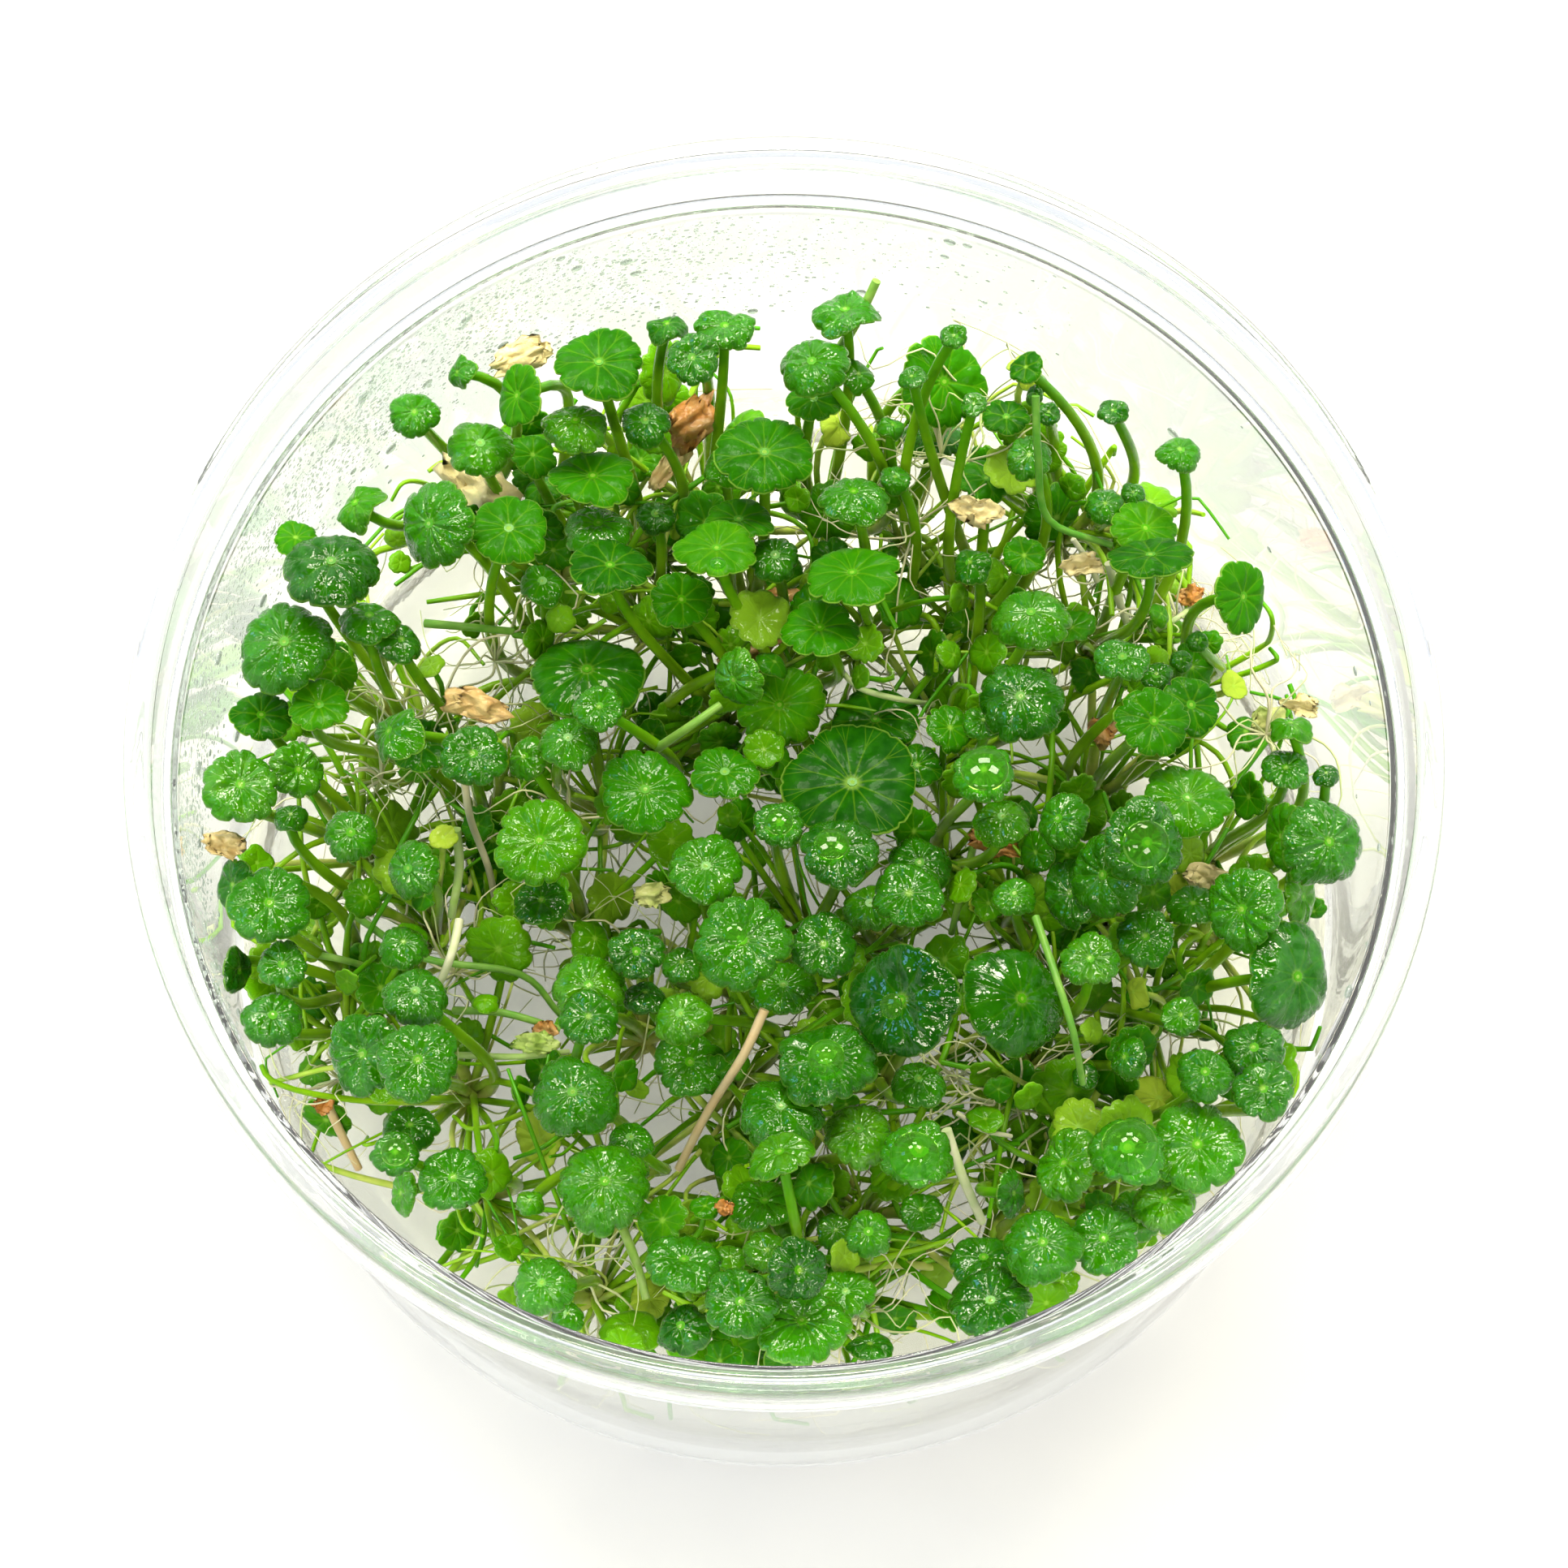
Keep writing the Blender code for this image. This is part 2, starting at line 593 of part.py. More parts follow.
def make_object(name, bm, colour, roughness, smooth=False):
    """Turns a mesh in millimetres into an object in metres with its own material."""
    bmesh.ops.scale(bm, vec=(MM, MM, MM), verts=bm.verts)
    mesh = bpy.data.meshes.new(name)
    bm.to_mesh(mesh)
    bm.free()
    if smooth:
        mesh.shade_smooth()
        mesh.set_sharp_from_angle(angle=math.radians(40))
    material = bpy.data.materials.new(name)
    material.use_nodes = True
    shader = material.node_tree.nodes["Principled BSDF"]
    shader.inputs["Base Color"].default_value = colour
    shader.inputs["Roughness"].default_value = roughness
    shader.inputs["Metallic"].default_value = 0.0
    shader.inputs["Alpha"].default_value = colour[3]
    mesh.materials.append(material)
    thing = bpy.data.objects.new(name, mesh)
    bpy.context.scene.collection.objects.link(thing)
    return thing


def turned(profile, sides):
    """A closed solid from an outline of (radius, height) points that starts and ends on the axis."""
    bm = bmesh.new()
    corners = [bm.verts.new((radius, 0.0, height)) for radius, height in profile]
    edges = [bm.edges.new(pair) for pair in zip(corners, corners[1:])]
    bmesh.ops.spin(
        bm,
        geom=corners + edges,
        cent=(0, 0, 0),
        axis=(0, 0, 1),
        angle=2 * math.pi,
        steps=sides,
        use_merge=True,
    )
    bmesh.ops.remove_doubles(bm, verts=bm.verts, dist=0.001)
    bmesh.ops.recalc_face_normals(bm, faces=bm.faces)
    return bm


def make_cup():
    """The cup: a foot, a slightly flared wall, a ledge, a collar and a skirt turned down outside."""
    outer_ledge = LEDGE_INNER_RADIUS + LEDGE_WIDTH
    profile = [
        (0.0, 0.0),
        (FOOT_RADIUS - FOOT_BEVEL, 0.0),
        (FOOT_RADIUS, FOOT_BEVEL),
        (LEDGE_INNER_RADIUS + WALL, LEDGE_HEIGHT - WALL),
        (outer_ledge + WALL, LEDGE_HEIGHT - WALL),
        (RIM_RADIUS + WALL / 2, RIM_HEIGHT - 1.6),
        (SKIRT_RADIUS - WALL, RIM_HEIGHT - 2.2),
        (SKIRT_RADIUS - WALL, SKIRT_FOOT),
        (SKIRT_RADIUS, SKIRT_FOOT),
        (SKIRT_RADIUS, RIM_HEIGHT - 2.0),
        (SKIRT_RADIUS - SKIRT_STEP, RIM_HEIGHT - 1.0),
        (RIM_RADIUS + WALL / 2, RIM_HEIGHT),
        (RIM_RADIUS - WALL / 2, RIM_HEIGHT - 0.3),
        (outer_ledge, LEDGE_HEIGHT),
        (LEDGE_INNER_RADIUS, LEDGE_HEIGHT),
        (wall_radius(0), FLOOR + FOOT_BEVEL),
        (FOOT_RADIUS - WALL - FOOT_BEVEL, FLOOR),
        (0.0, FLOOR),
    ]
    make_object("cup", turned(profile, CUP_SIDES), CUP_CLEAR, CUP_ROUGHNESS, smooth=True)


def make_gel():
    """The gel: a low, clear block that fills the cup's foot, with a meniscus at its edge."""
    clear = CONTACT_GAP + WALL
    top_radius = wall_radius(GEL_TOP) - CONTACT_GAP
    profile = [
        (0.0, FLOOR + CONTACT_GAP),
        (FOOT_RADIUS - clear - FOOT_BEVEL, FLOOR + CONTACT_GAP),
        (FOOT_RADIUS - clear, FLOOR + FOOT_BEVEL + CONTACT_GAP),
        (top_radius, GEL_TOP + 0.2),
        (top_radius - 1.2, GEL_TOP - 0.2),
        (0.0, GEL_TOP - 0.2),
    ]
    make_object("gel", turned(profile, CUP_SIDES), GEL_CLEAR, GEL_ROUGHNESS, smooth=True)


def heading(blade, crown):
    """The compass angle from a crown to a blade."""
    return math.atan2(blade.middle.y - crown.y, blade.middle.x - crown.x)


def ring_round(centre, tangent, before, radius):
    """Points round a stalk, turned as little as can be from the ring before them."""
    first = before[0] - centre
    first = (first - tangent * first.dot(tangent)).normalized()
    turn = math.copysign(1.0, first.cross(before[1] - centre).dot(tangent))
    across = tangent.cross(first) * turn
    angles = [2 * math.pi * i / len(before) for i in range(len(before))]
    return [centre + (first * math.cos(a) + across * math.sin(a)) * radius for a in angles]


def grow_stalk(bm, face, stalk):
    """Draws one face of the crown out along the stalk and returns the last face."""
    for i in range(1, STALK_STEPS + 1):
        face = bmesh.ops.extrude_discrete_faces(bm, faces=[face])["faces"][0]
        if i == STALK_STEPS:
            tangent = stalk.blade.normal
        else:
            tangent = (stalk.points[i + 1] - stalk.points[i - 1]).normalized()
        radius = STALK_FOOT_RADIUS + (STALK_TOP_RADIUS - STALK_FOOT_RADIUS) * i / STALK_STEPS
        drift = stalk.points[i] - face.calc_center_median()
        before = [vert.co + drift for vert in face.verts]
        for vert, place in zip(face.verts, ring_round(stalk.points[i], tangent, before, radius)):
            vert.co = place
    return face


def grow_blade(bm, face, blade):
    """Opens the stalk's last face into the blade: its upper side, its edge and its underside."""
    neck = list(face.edges)
    bmesh.ops.delete(bm, geom=[face], context="FACES_ONLY")
    ring = bmesh.ops.create_circle(bm, cap_ends=True, segments=blade.points, radius=blade.radius)
    rim = ring["verts"]
    for vert, place in zip(rim, blade.rim()):
        vert.co = place
    upper = rim[0].link_faces[0]
    bmesh.ops.bridge_loops(bm, edges=neck + list(upper.edges))
    middle = bmesh.ops.poke(bm, faces=[upper])["verts"][0]
    middle.co = blade.middle


def facing(face):
    """The compass angle that a face of the crown looks towards."""
    middle = face.calc_center_median()
    return math.atan2(middle.y, middle.x)


def make_plantlet(name, crown, blades, stalks):
    """One plantlet: a crown, from which each stalk is drawn out to its blade."""
    bm = bmesh.new()
    corners = max(LEAST_CORNERS, 2 * len(blades))
    bmesh.ops.create_cone(
        bm,
        cap_ends=True,
        segments=corners,
        radius1=CROWN_RADIUS,
        radius2=0.0,
        depth=CROWN_RISE,
    )
    under = next(f for f in bm.faces if len(f.verts) == corners)
    bmesh.ops.poke(bm, faces=[under])["verts"][0].co.z -= CROWN_DEPTH
    sides = sorted((f for f in bm.faces if f.normal.z > 0), key=facing)
    ordered = sorted(blades, key=lambda b: heading(b, crown))
    turn = Matrix.Rotation(heading(ordered[0], crown) - facing(sides[0]), 4, "Z")
    lift = Matrix.Translation(crown + Vector((0, 0, CROWN_RISE / 2)))
    bmesh.ops.transform(bm, matrix=lift @ turn, verts=bm.verts)
    for side, blade in zip(sides[::2], ordered):
        grow_blade(bm, grow_stalk(bm, side, stalks[id(blade)]), blade)
    bmesh.ops.triangulate(bm, faces=bm.faces)
    bmesh.ops.recalc_face_normals(bm, faces=bm.faces)
    make_object(name, bm, LEAF_GREEN, LEAF_ROUGHNESS)


def clear_scene():
    """Removes what the scene holds."""
    for thing in list(bpy.data.objects):
        bpy.data.objects.remove(thing, do_unlink=True)


def main():
    """Builds the cup, the gel and every plantlet."""
    clear_scene()
    make_cup()
    make_gel()
    plants = {name: [Blade(leaf) for leaf in leaves] for name, leaves in PLANTLETS.items()}
    lift_blades([b for group in plants.values() for b in group])
    crowns, stalks = route_stalks(plants)
    for name, blades in plants.items():
        make_plantlet(name, crowns[name], blades, stalks)


main()
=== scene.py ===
"""Whorled pennywort on clear gel in an open, clear plastic cup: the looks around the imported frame.

Lengths in the plant's layout are millimetres, as they are in the table of leaves, and every finished
mesh is in metres. Pixel places are those of the 1932 by 1932 picture that the camera sees.
"""

from __future__ import annotations

import logging
import math
from dataclasses import dataclass, field
from enum import Enum
from typing import Any, Iterator, NamedTuple

import bmesh
import bpy
import numpy as np
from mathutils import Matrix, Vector, noise


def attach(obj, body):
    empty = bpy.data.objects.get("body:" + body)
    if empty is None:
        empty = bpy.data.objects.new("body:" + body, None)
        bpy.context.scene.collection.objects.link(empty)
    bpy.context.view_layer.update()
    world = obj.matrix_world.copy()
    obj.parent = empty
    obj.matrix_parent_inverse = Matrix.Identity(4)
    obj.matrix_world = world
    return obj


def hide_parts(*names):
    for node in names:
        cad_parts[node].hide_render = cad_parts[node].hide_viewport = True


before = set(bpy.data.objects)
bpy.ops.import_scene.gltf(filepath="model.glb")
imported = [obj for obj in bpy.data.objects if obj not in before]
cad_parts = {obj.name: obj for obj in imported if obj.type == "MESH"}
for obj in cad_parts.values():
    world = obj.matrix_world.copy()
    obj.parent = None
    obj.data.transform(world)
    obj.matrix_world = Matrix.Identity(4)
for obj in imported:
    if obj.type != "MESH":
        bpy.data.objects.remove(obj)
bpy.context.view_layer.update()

logging.basicConfig(level=logging.INFO, format="%(message)s")
log = logging.getLogger("pennywort")

MM = 0.001

# Cup and gel, as the frame has them
FOOT_RADIUS = 46.1
WALL = 0.7
FLOOR = 0.9
LEDGE_HEIGHT = 50.2
LEDGE_INNER_RADIUS = 48.1
LEDGE_WIDTH = 0.9
RIM_HEIGHT = 57.2
RIM_RADIUS = 50.0
SKIRT_RADIUS = 52.0
SKIRT_FOOT = 51.4
GEL_TOP = 13.0
CONTACT_GAP = 0.3
HELD_ENDS = 0.12

# Plants, as the frame has them
CROWN_DEPTH = 0.6
CROWN_PULL = 0.86
STALK_FOOT_RADIUS = 0.56
STALK_TOP_RADIUS = 0.42
STALK_STEPS = 3
BLADE_THICKNESS = 0.5
NOTCH_DEPTH = 0.1
EDGE_WAVES = 3
EDGE_POINTS = ((7.3, 16), (5.1, 12), (0.0, 8))
LEAVE = 0.35
ARRIVE = 0.3
TOP_BOW = 0.5
BOWS = (2.0, 4.0, 6.0, 8.5, 11.0)
BOW_HEADINGS = 12
BLADE_ROOM = 0.9
STALK_ROOM = 1.25
WALL_ROOM = 0.45
STALK_WALL_ROOM = 0.95
LIFT_STEP = 0.4
SAMPLE_SPACING = 1.0
SAMPLE_RINGS = (0.33, 0.67, 1.0)
SAMPLES_A_STEP = 8
FAR = 3.0
CANOPY_TOP = 48.6
SMOOTH_RADIUS = 4.4

# The camera, and the picture that the plants are laid out from
PICTURE_CENTRE = 966
PICTURE_SIZE = 1932
FOCAL_PIXELS = 8000
SENSOR = 36.0
EYE_ELEVATION = math.radians(72.5)
EYE_DISTANCE = 514.0
EYE_TARGET = Vector((0.0, -1.1, 50.2))
EYE_BACK = Vector((0.0, -math.cos(EYE_ELEVATION), math.sin(EYE_ELEVATION)))
EYE_UP = Vector((0.0, math.sin(EYE_ELEVATION), math.cos(EYE_ELEVATION)))
EYE_RIGHT = Vector((1.0, 0.0, 0.0))
EYE = EYE_TARGET + EYE_BACK * EYE_DISTANCE


class Form(Enum):
    """How far a blade's edge stands above its middle, as a share of its radius, and its wave."""

    FLAT = (0.05, 0.03)
    DOME = (-0.3, 0.04)
    CUP = (0.3, 0.05)
    RUFFLE = (0.12, 0.14)
    CURL = (-0.42, 0.22)


class Leaf(NamedTuple):
    """One blade on its stalk.

    across, down: the middle of the blade in the picture, in pixels.
    width: the blade from edge to edge. height: its middle above the ground plane.
    squash: how much narrower it looks one way than the other.
    lean: the way its upper face leans in the picture, in degrees from the right.
    """

    across: int
    down: int
    width: float
    height: float
    squash: float
    lean: int
    form: Form


PLANTLETS: dict[str, tuple[Leaf, ...]] = {
    "plantlet_01": (
        Leaf(498, 494, 4.4, 42, 0.95, 90, Form.DOME),
        Leaf(563, 458, 3.0, 42, 0.70, 170, Form.CURL),
        Leaf(437, 618, 4.6, 42, 0.60, 135, Form.CURL),
    ),
    "plantlet_02": (
        Leaf(636, 487, 6.1, 43, 0.60, 165, Form.FLAT),
        Leaf(592, 545, 5.8, 39, 0.85, 90, Form.DOME),
        Leaf(657, 560, 4.6, 34, 0.80, 60, Form.FLAT),
    ),
    "plantlet_03": (
        Leaf(738, 445, 8.2, 43, 0.76, 90, Form.FLAT),
        Leaf(709, 517, 5.9, 41, 0.72, 90, Form.DOME),
        Leaf(795, 517, 4.6, 40, 0.88, 100, Form.DOME),
    ),
    "plantlet_04": (
        Leaf(730, 585, 7.5, 39, 0.68, 90, Form.FLAT),
        Leaf(737, 643, 6.4, 37, 0.68, 90, Form.DOME),
        Leaf(808, 632, 3.6, 32, 0.85, 90, Form.DOME),
    ),
    "plantlet_05": (
        Leaf(822, 398, 3.7, 42, 0.62, 90, Form.CURL),
        Leaf(893, 400, 5.4, 42, 0.68, 90, Form.RUFFLE),
        Leaf(853, 440, 4.8, 44, 0.93, 120, Form.CUP),
    ),
    "plantlet_06": (
        Leaf(942, 556, 8.7, 40, 0.80, 80, Form.FLAT),
        Leaf(888, 570, 4.0, 35, 0.80, 120, Form.CURL),
        Leaf(910, 638, 6.2, 37, 0.62, 90, Form.FLAT),
    ),
    "plantlet_07": (
        Leaf(1000, 444, 6.3, 43, 0.82, 110, Form.DOME),
        Leaf(1041, 380, 6.2, 42, 0.52, 95, Form.RUFFLE),
        Leaf(1058, 460, 3.3, 39, 0.85, 60, Form.CURL),
        Leaf(1002, 490, 5.0, 37, 0.80, 90, Form.FLAT),
    ),
    "plantlet_08": (
        Leaf(1164, 470, 8.4, 34, 0.93, 0, Form.FLAT),
        Leaf(1150, 528, 6.0, 27, 0.60, 90, Form.DOME),
        Leaf(1100, 523, 2.6, 35, 0.75, 60, Form.CURL),
    ),
    "plantlet_09": (
        Leaf(1175, 413, 2.5, 47, 0.90, 90, Form.CUP),
        Leaf(1123, 463, 2.7, 45, 0.70, 110, Form.CUP),
        Leaf(1200, 497, 2.4, 44, 0.90, 90, Form.CUP),
    ),
    "plantlet_10": (
        Leaf(1052, 604, 6.2, 39, 0.62, 90, Form.DOME),
        Leaf(1103, 587, 3.0, 36, 0.85, 90, Form.DOME),
        Leaf(1050, 704, 8.6, 40, 0.60, 97, Form.FLAT),
    ),
    "plantlet_11": (
        Leaf(1264, 452, 3.3, 43, 0.80, 120, Form.FLAT),
        Leaf(1292, 507, 2.3, 43, 0.90, 90, Form.DOME),
        Leaf(1273, 487, 1.9, 41, 0.80, 170, Form.CUP),
        Leaf(1240, 513, 4.2, 37, 0.75, 90, Form.FLAT),
    ),
    "plantlet_12": (
        Leaf(1268, 560, 4.2, 40, 0.92, 90, Form.DOME),
        Leaf(1215, 588, 5.5, 32, 0.70, 90, Form.FLAT),
        Leaf(1262, 684, 3.7, 35, 0.95, 90, Form.FLAT),
    ),
    "plantlet_13": (
        Leaf(1371, 505, 2.9, 44, 0.75, 100, Form.CUP),
        Leaf(1362, 620, 3.4, 39, 0.93, 90, Form.DOME),
        Leaf(1396, 606, 2.3, 37, 0.90, 90, Form.DOME),
    ),
    "plantlet_14": (
        Leaf(1454, 553, 4.0, 44, 0.76, 80, Form.DOME),
        Leaf(1412, 650, 6.2, 39, 0.78, 60, Form.FLAT),
        Leaf(1418, 682, 7.4, 43, 0.46, 92, Form.FLAT),
    ),
    "plantlet_15": (
        Leaf(1533, 735, 6.6, 42, 0.66, 0, Form.FLAT),
        Leaf(1475, 788, 2.1, 38, 0.90, 90, Form.DOME),
        Leaf(1455, 812, 2.2, 36, 0.90, 90, Form.DOME),
    ),
    "plantlet_16": (
        Leaf(1270, 753, 6.9, 40, 0.78, 100, Form.DOME),
        Leaf(1195, 692, 3.8, 35, 0.80, 120, Form.CURL),
        Leaf(1257, 857, 7.7, 40, 0.92, 100, Form.DOME),
        Leaf(1212, 887, 4.0, 36, 0.75, 90, Form.CUP),
    ),
    "plantlet_17": (
        Leaf(1383, 808, 4.8, 42, 0.78, 90, Form.RUFFLE),
        Leaf(1422, 888, 6.6, 42, 0.92, 45, Form.FLAT),
        Leaf(1425, 830, 3.0, 37, 0.90, 90, Form.DOME),
        Leaf(1468, 868, 5.6, 39, 0.90, 45, Form.FLAT),
    ),
    "plantlet_18": (
        Leaf(1590, 890, 3.8, 43, 0.50, 90, Form.CURL),
        Leaf(1584, 945, 4.2, 42, 0.80, 90, Form.CUP),
        Leaf(1634, 952, 2.4, 42, 0.80, 90, Form.DOME),
    ),
    "plantlet_19": (
        Leaf(1638, 1037, 7.8, 45, 0.90, 10, Form.DOME),
        Leaf(1577, 1030, 6.2, 41, 0.55, 180, Form.FLAT),
        Leaf(1607, 1105, 5.2, 37, 0.50, 0, Form.FLAT),
    ),
    "plantlet_20": (
        Leaf(1463, 982, 7.9, 40, 0.80, 80, Form.FLAT),
        Leaf(1412, 1038, 7.6, 44, 0.96, 0, Form.CUP),
        Leaf(1470, 1112, 4.6, 34, 0.75, 90, Form.FLAT),
    ),
    "plantlet_21": (
        Leaf(1212, 950, 5.7, 41, 0.88, 90, Form.CUP),
        Leaf(1235, 1005, 5.0, 35, 0.80, 90, Form.DOME),
        Leaf(1130, 942, 4.5, 30, 0.90, 90, Form.FLAT),
    ),
    "plantlet_22": (
        Leaf(1358, 1078, 7.6, 40, 0.82, 180, Form.CUP),
        Leaf(1303, 1008, 5.2, 39, 0.85, 150, Form.DOME),
        Leaf(1318, 1100, 6.4, 36, 0.82, 170, Form.CUP),
        Leaf(1276, 1050, 3.8, 34, 0.80, 180, Form.FLAT),
    ),
    "plantlet_23": (
        Leaf(1530, 1120, 7.3, 43, 0.94, 180, Form.CUP),
        Leaf(1600, 1203, 9.2, 41, 0.78, 0, Form.DOME),
    ),
    "plantlet_24": (
        Leaf(1411, 1153, 5.4, 37, 0.95, 90, Form.FLAT),
        Leaf(1343, 1180, 5.0, 40, 0.92, 90, Form.CUP),
        Leaf(1455, 1250, 3.7, 37, 0.93, 90, Form.CUP),
        Leaf(1250, 1100, 3.9, 37, 0.90, 90, Form.DOME),
    ),
    "plantlet_25": (
        Leaf(1260, 1230, 10.0, 37, 0.84, 20, Form.DOME),
        Leaf(1385, 1302, 3.8, 36, 0.80, 160, Form.DOME),
        Leaf(1338, 1325, 2.5, 30, 0.90, 90, Form.FLAT),
    ),
    "plantlet_26": (
        Leaf(1110, 1232, 10.2, 41, 0.88, 180, Form.CUP),
        Leaf(1132, 1328, 5.0, 36, 0.80, 90, Form.DOME),
    ),
    "plantlet_27": (
        Leaf(1120, 1100, 6.4, 39, 0.90, 90, Form.CUP),
        Leaf(1133, 1062, 5.6, 34, 0.92, 90, Form.DOME),
        Leaf(1072, 1112, 4.6, 33, 0.85, 90, Form.DOME),
    ),
    "plantlet_28": (
        Leaf(1050, 963, 12.0, 34, 0.82, 90, Form.FLAT),
        Leaf(960, 868, 8.2, 30, 0.92, 90, Form.FLAT),
        Leaf(1078, 885, 8.2, 27, 0.75, 90, Form.FLAT),
    ),
    "plantlet_29": (
        Leaf(1010, 772, 7.1, 38, 0.70, 90, Form.FLAT),
        Leaf(955, 683, 4.6, 36, 0.88, 80, Form.DOME),
        Leaf(883, 674, 7.4, 40, 0.67, 90, Form.FLAT),
    ),
    "plantlet_30": (
        Leaf(752, 695, 7.3, 40, 0.66, 85, Form.FLAT),
        Leaf(840, 738, 5.6, 36, 0.90, 60, Form.FLAT),
        Leaf(893, 950, 5.9, 37, 0.80, 90, Form.FLAT),
    ),
    "plantlet_31": (
        Leaf(795, 972, 8.2, 36, 0.90, 90, Form.FLAT),
        Leaf(903, 838, 5.2, 39, 0.80, 200, Form.DOME),
    ),
    "plantlet_32": (
        Leaf(627, 650, 7.2, 40, 0.82, 90, Form.FLAT),
        Leaf(528, 645, 7.5, 40, 0.85, 170, Form.DOME),
        Leaf(668, 715, 4.2, 35, 0.85, 90, Form.CURL),
    ),
    "plantlet_33": (
        Leaf(408, 690, 8.2, 44, 0.78, 90, Form.DOME),
        Leaf(352, 655, 4.0, 43, 0.76, 90, Form.FLAT),
        Leaf(350, 790, 8.5, 44, 0.93, 110, Form.DOME),
    ),
    "plantlet_34": (
        Leaf(455, 757, 5.3, 41, 0.66, 90, Form.DOME),
        Leaf(495, 787, 4.2, 39, 0.80, 60, Form.DOME),
        Leaf(393, 867, 5.3, 41, 0.84, 90, Form.FLAT),
        Leaf(414, 826, 4.2, 36, 0.85, 60, Form.FLAT),
    ),
    "plantlet_35": (
        Leaf(322, 880, 5.4, 39, 0.82, 90, Form.FLAT),
        Leaf(296, 966, 6.9, 45, 0.92, 90, Form.CUP),
        Leaf(368, 948, 5.1, 42, 0.90, 20, Form.CUP),
    ),
    "plantlet_36": (
        Leaf(478, 900, 5.6, 39, 0.55, 150, Form.CURL),
        Leaf(583, 928, 5.9, 39, 0.94, 90, Form.CUP),
        Leaf(520, 918, 5.4, 30, 0.85, 90, Form.FLAT),
    ),
    "plantlet_37": (
        Leaf(723, 823, 9.8, 34, 0.78, 90, Form.DOME),
        Leaf(738, 870, 4.5, 40, 0.90, 90, Form.CUP),
        Leaf(700, 908, 5.4, 38, 0.84, 90, Form.DOME),
        Leaf(645, 932, 4.0, 35, 0.85, 150, Form.DOME),
    ),
    "plantlet_38": (
        Leaf(432, 1025, 4.9, 39, 0.94, 90, Form.DOME),
        Leaf(502, 1070, 5.3, 39, 0.86, 160, Form.DOME),
        Leaf(358, 1003, 3.0, 36, 0.85, 90, Form.CURL),
        Leaf(497, 1160, 4.4, 36, 0.82, 90, Form.DOME),
    ),
    "plantlet_39": (
        Leaf(332, 1112, 7.1, 42, 0.95, 90, Form.FLAT),
        Leaf(286, 1090, 4.7, 39, 0.68, 180, Form.FLAT),
        Leaf(348, 1187, 4.5, 40, 0.92, 90, Form.CUP),
    ),
    "plantlet_40": (
        Leaf(336, 1250, 5.3, 40, 0.93, 90, Form.DOME),
        Leaf(296, 1195, 4.2, 37, 0.52, 0, Form.FLAT),
    ),
    "plantlet_41": (
        Leaf(515, 1305, 7.2, 43, 0.95, 90, Form.CUP),
        Leaf(446, 1298, 7.2, 39, 0.92, 180, Form.CUP),
        Leaf(512, 1220, 5.8, 37, 0.86, 90, Form.DOME),
        Leaf(505, 1385, 5.2, 34, 0.72, 90, Form.FLAT),
    ),
    "plantlet_42": (
        Leaf(558, 1450, 6.0, 40, 0.94, 90, Form.FLAT),
        Leaf(487, 1420, 4.2, 42, 0.94, 90, Form.CUP),
        Leaf(493, 1470, 4.0, 36, 0.52, 180, Form.FLAT),
    ),
    "plantlet_43": (
        Leaf(665, 1035, 8.0, 38, 0.96, 90, Form.FLAT),
        Leaf(667, 1108, 5.0, 32, 0.85, 90, Form.FLAT),
    ),
    "plantlet_44": (
        Leaf(784, 1172, 4.9, 39, 0.96, 90, Form.CUP),
        Leaf(795, 1222, 3.9, 36, 0.70, 90, Form.DOME),
        Leaf(725, 1213, 6.8, 36, 0.93, 90, Form.DOME),
        Leaf(725, 1252, 5.2, 40, 0.93, 90, Form.CUP),
    ),
    "plantlet_45": (
        Leaf(915, 1158, 8.3, 41, 0.96, 90, Form.CUP),
        Leaf(870, 1066, 6.9, 38, 0.84, 90, Form.CUP),
        Leaf(840, 1185, 3.6, 33, 0.90, 90, Form.DOME),
        Leaf(965, 1212, 6.0, 33, 0.78, 90, Form.FLAT),
    ),
    "plantlet_46": (
        Leaf(1035, 1045, 6.9, 40, 0.86, 90, Form.CUP),
        Leaf(960, 1013, 4.5, 39, 0.92, 90, Form.CUP),
        Leaf(1015, 1163, 6.1, 38, 0.95, 90, Form.CUP),
    ),
    "plantlet_47": (
        Leaf(1017, 1302, 8.6, 40, 0.84, 90, Form.RUFFLE),
        Leaf(850, 1308, 6.2, 33, 0.96, 90, Form.FLAT),
        Leaf(838, 1248, 5.2, 37, 0.88, 120, Form.DOME),
    ),
    "plantlet_48": (
        Leaf(705, 1345, 7.5, 41, 0.94, 110, Form.DOME),
        Leaf(745, 1455, 8.2, 40, 0.94, 90, Form.DOME),
        Leaf(777, 1400, 4.2, 36, 0.80, 90, Form.DOME),
        Leaf(653, 1478, 2.6, 38, 0.90, 90, Form.CURL),
    ),
    "plantlet_49": (
        Leaf(962, 1362, 7.6, 39, 0.82, 90, Form.DOME),
        Leaf(960, 1418, 6.0, 42, 0.60, 110, Form.FLAT),
        Leaf(1058, 1390, 6.2, 37, 0.90, 90, Form.DOME),
        Leaf(942, 1478, 6.4, 31, 0.66, 90, Form.FLAT),
    ),
    "plantlet_50": (
        Leaf(1130, 1420, 6.2, 41, 0.96, 90, Form.RUFFLE),
        Leaf(1135, 1490, 3.8, 33, 0.88, 90, Form.FLAT),
        Leaf(1070, 1517, 4.2, 38, 0.95, 90, Form.DOME),
        Leaf(1030, 1515, 3.6, 32, 0.88, 90, Form.FLAT),
    ),
    "plantlet_51": (
        Leaf(1310, 1432, 6.4, 39, 0.82, 150, Form.RUFFLE),
        Leaf(1390, 1415, 6.8, 44, 0.88, 90, Form.CUP),
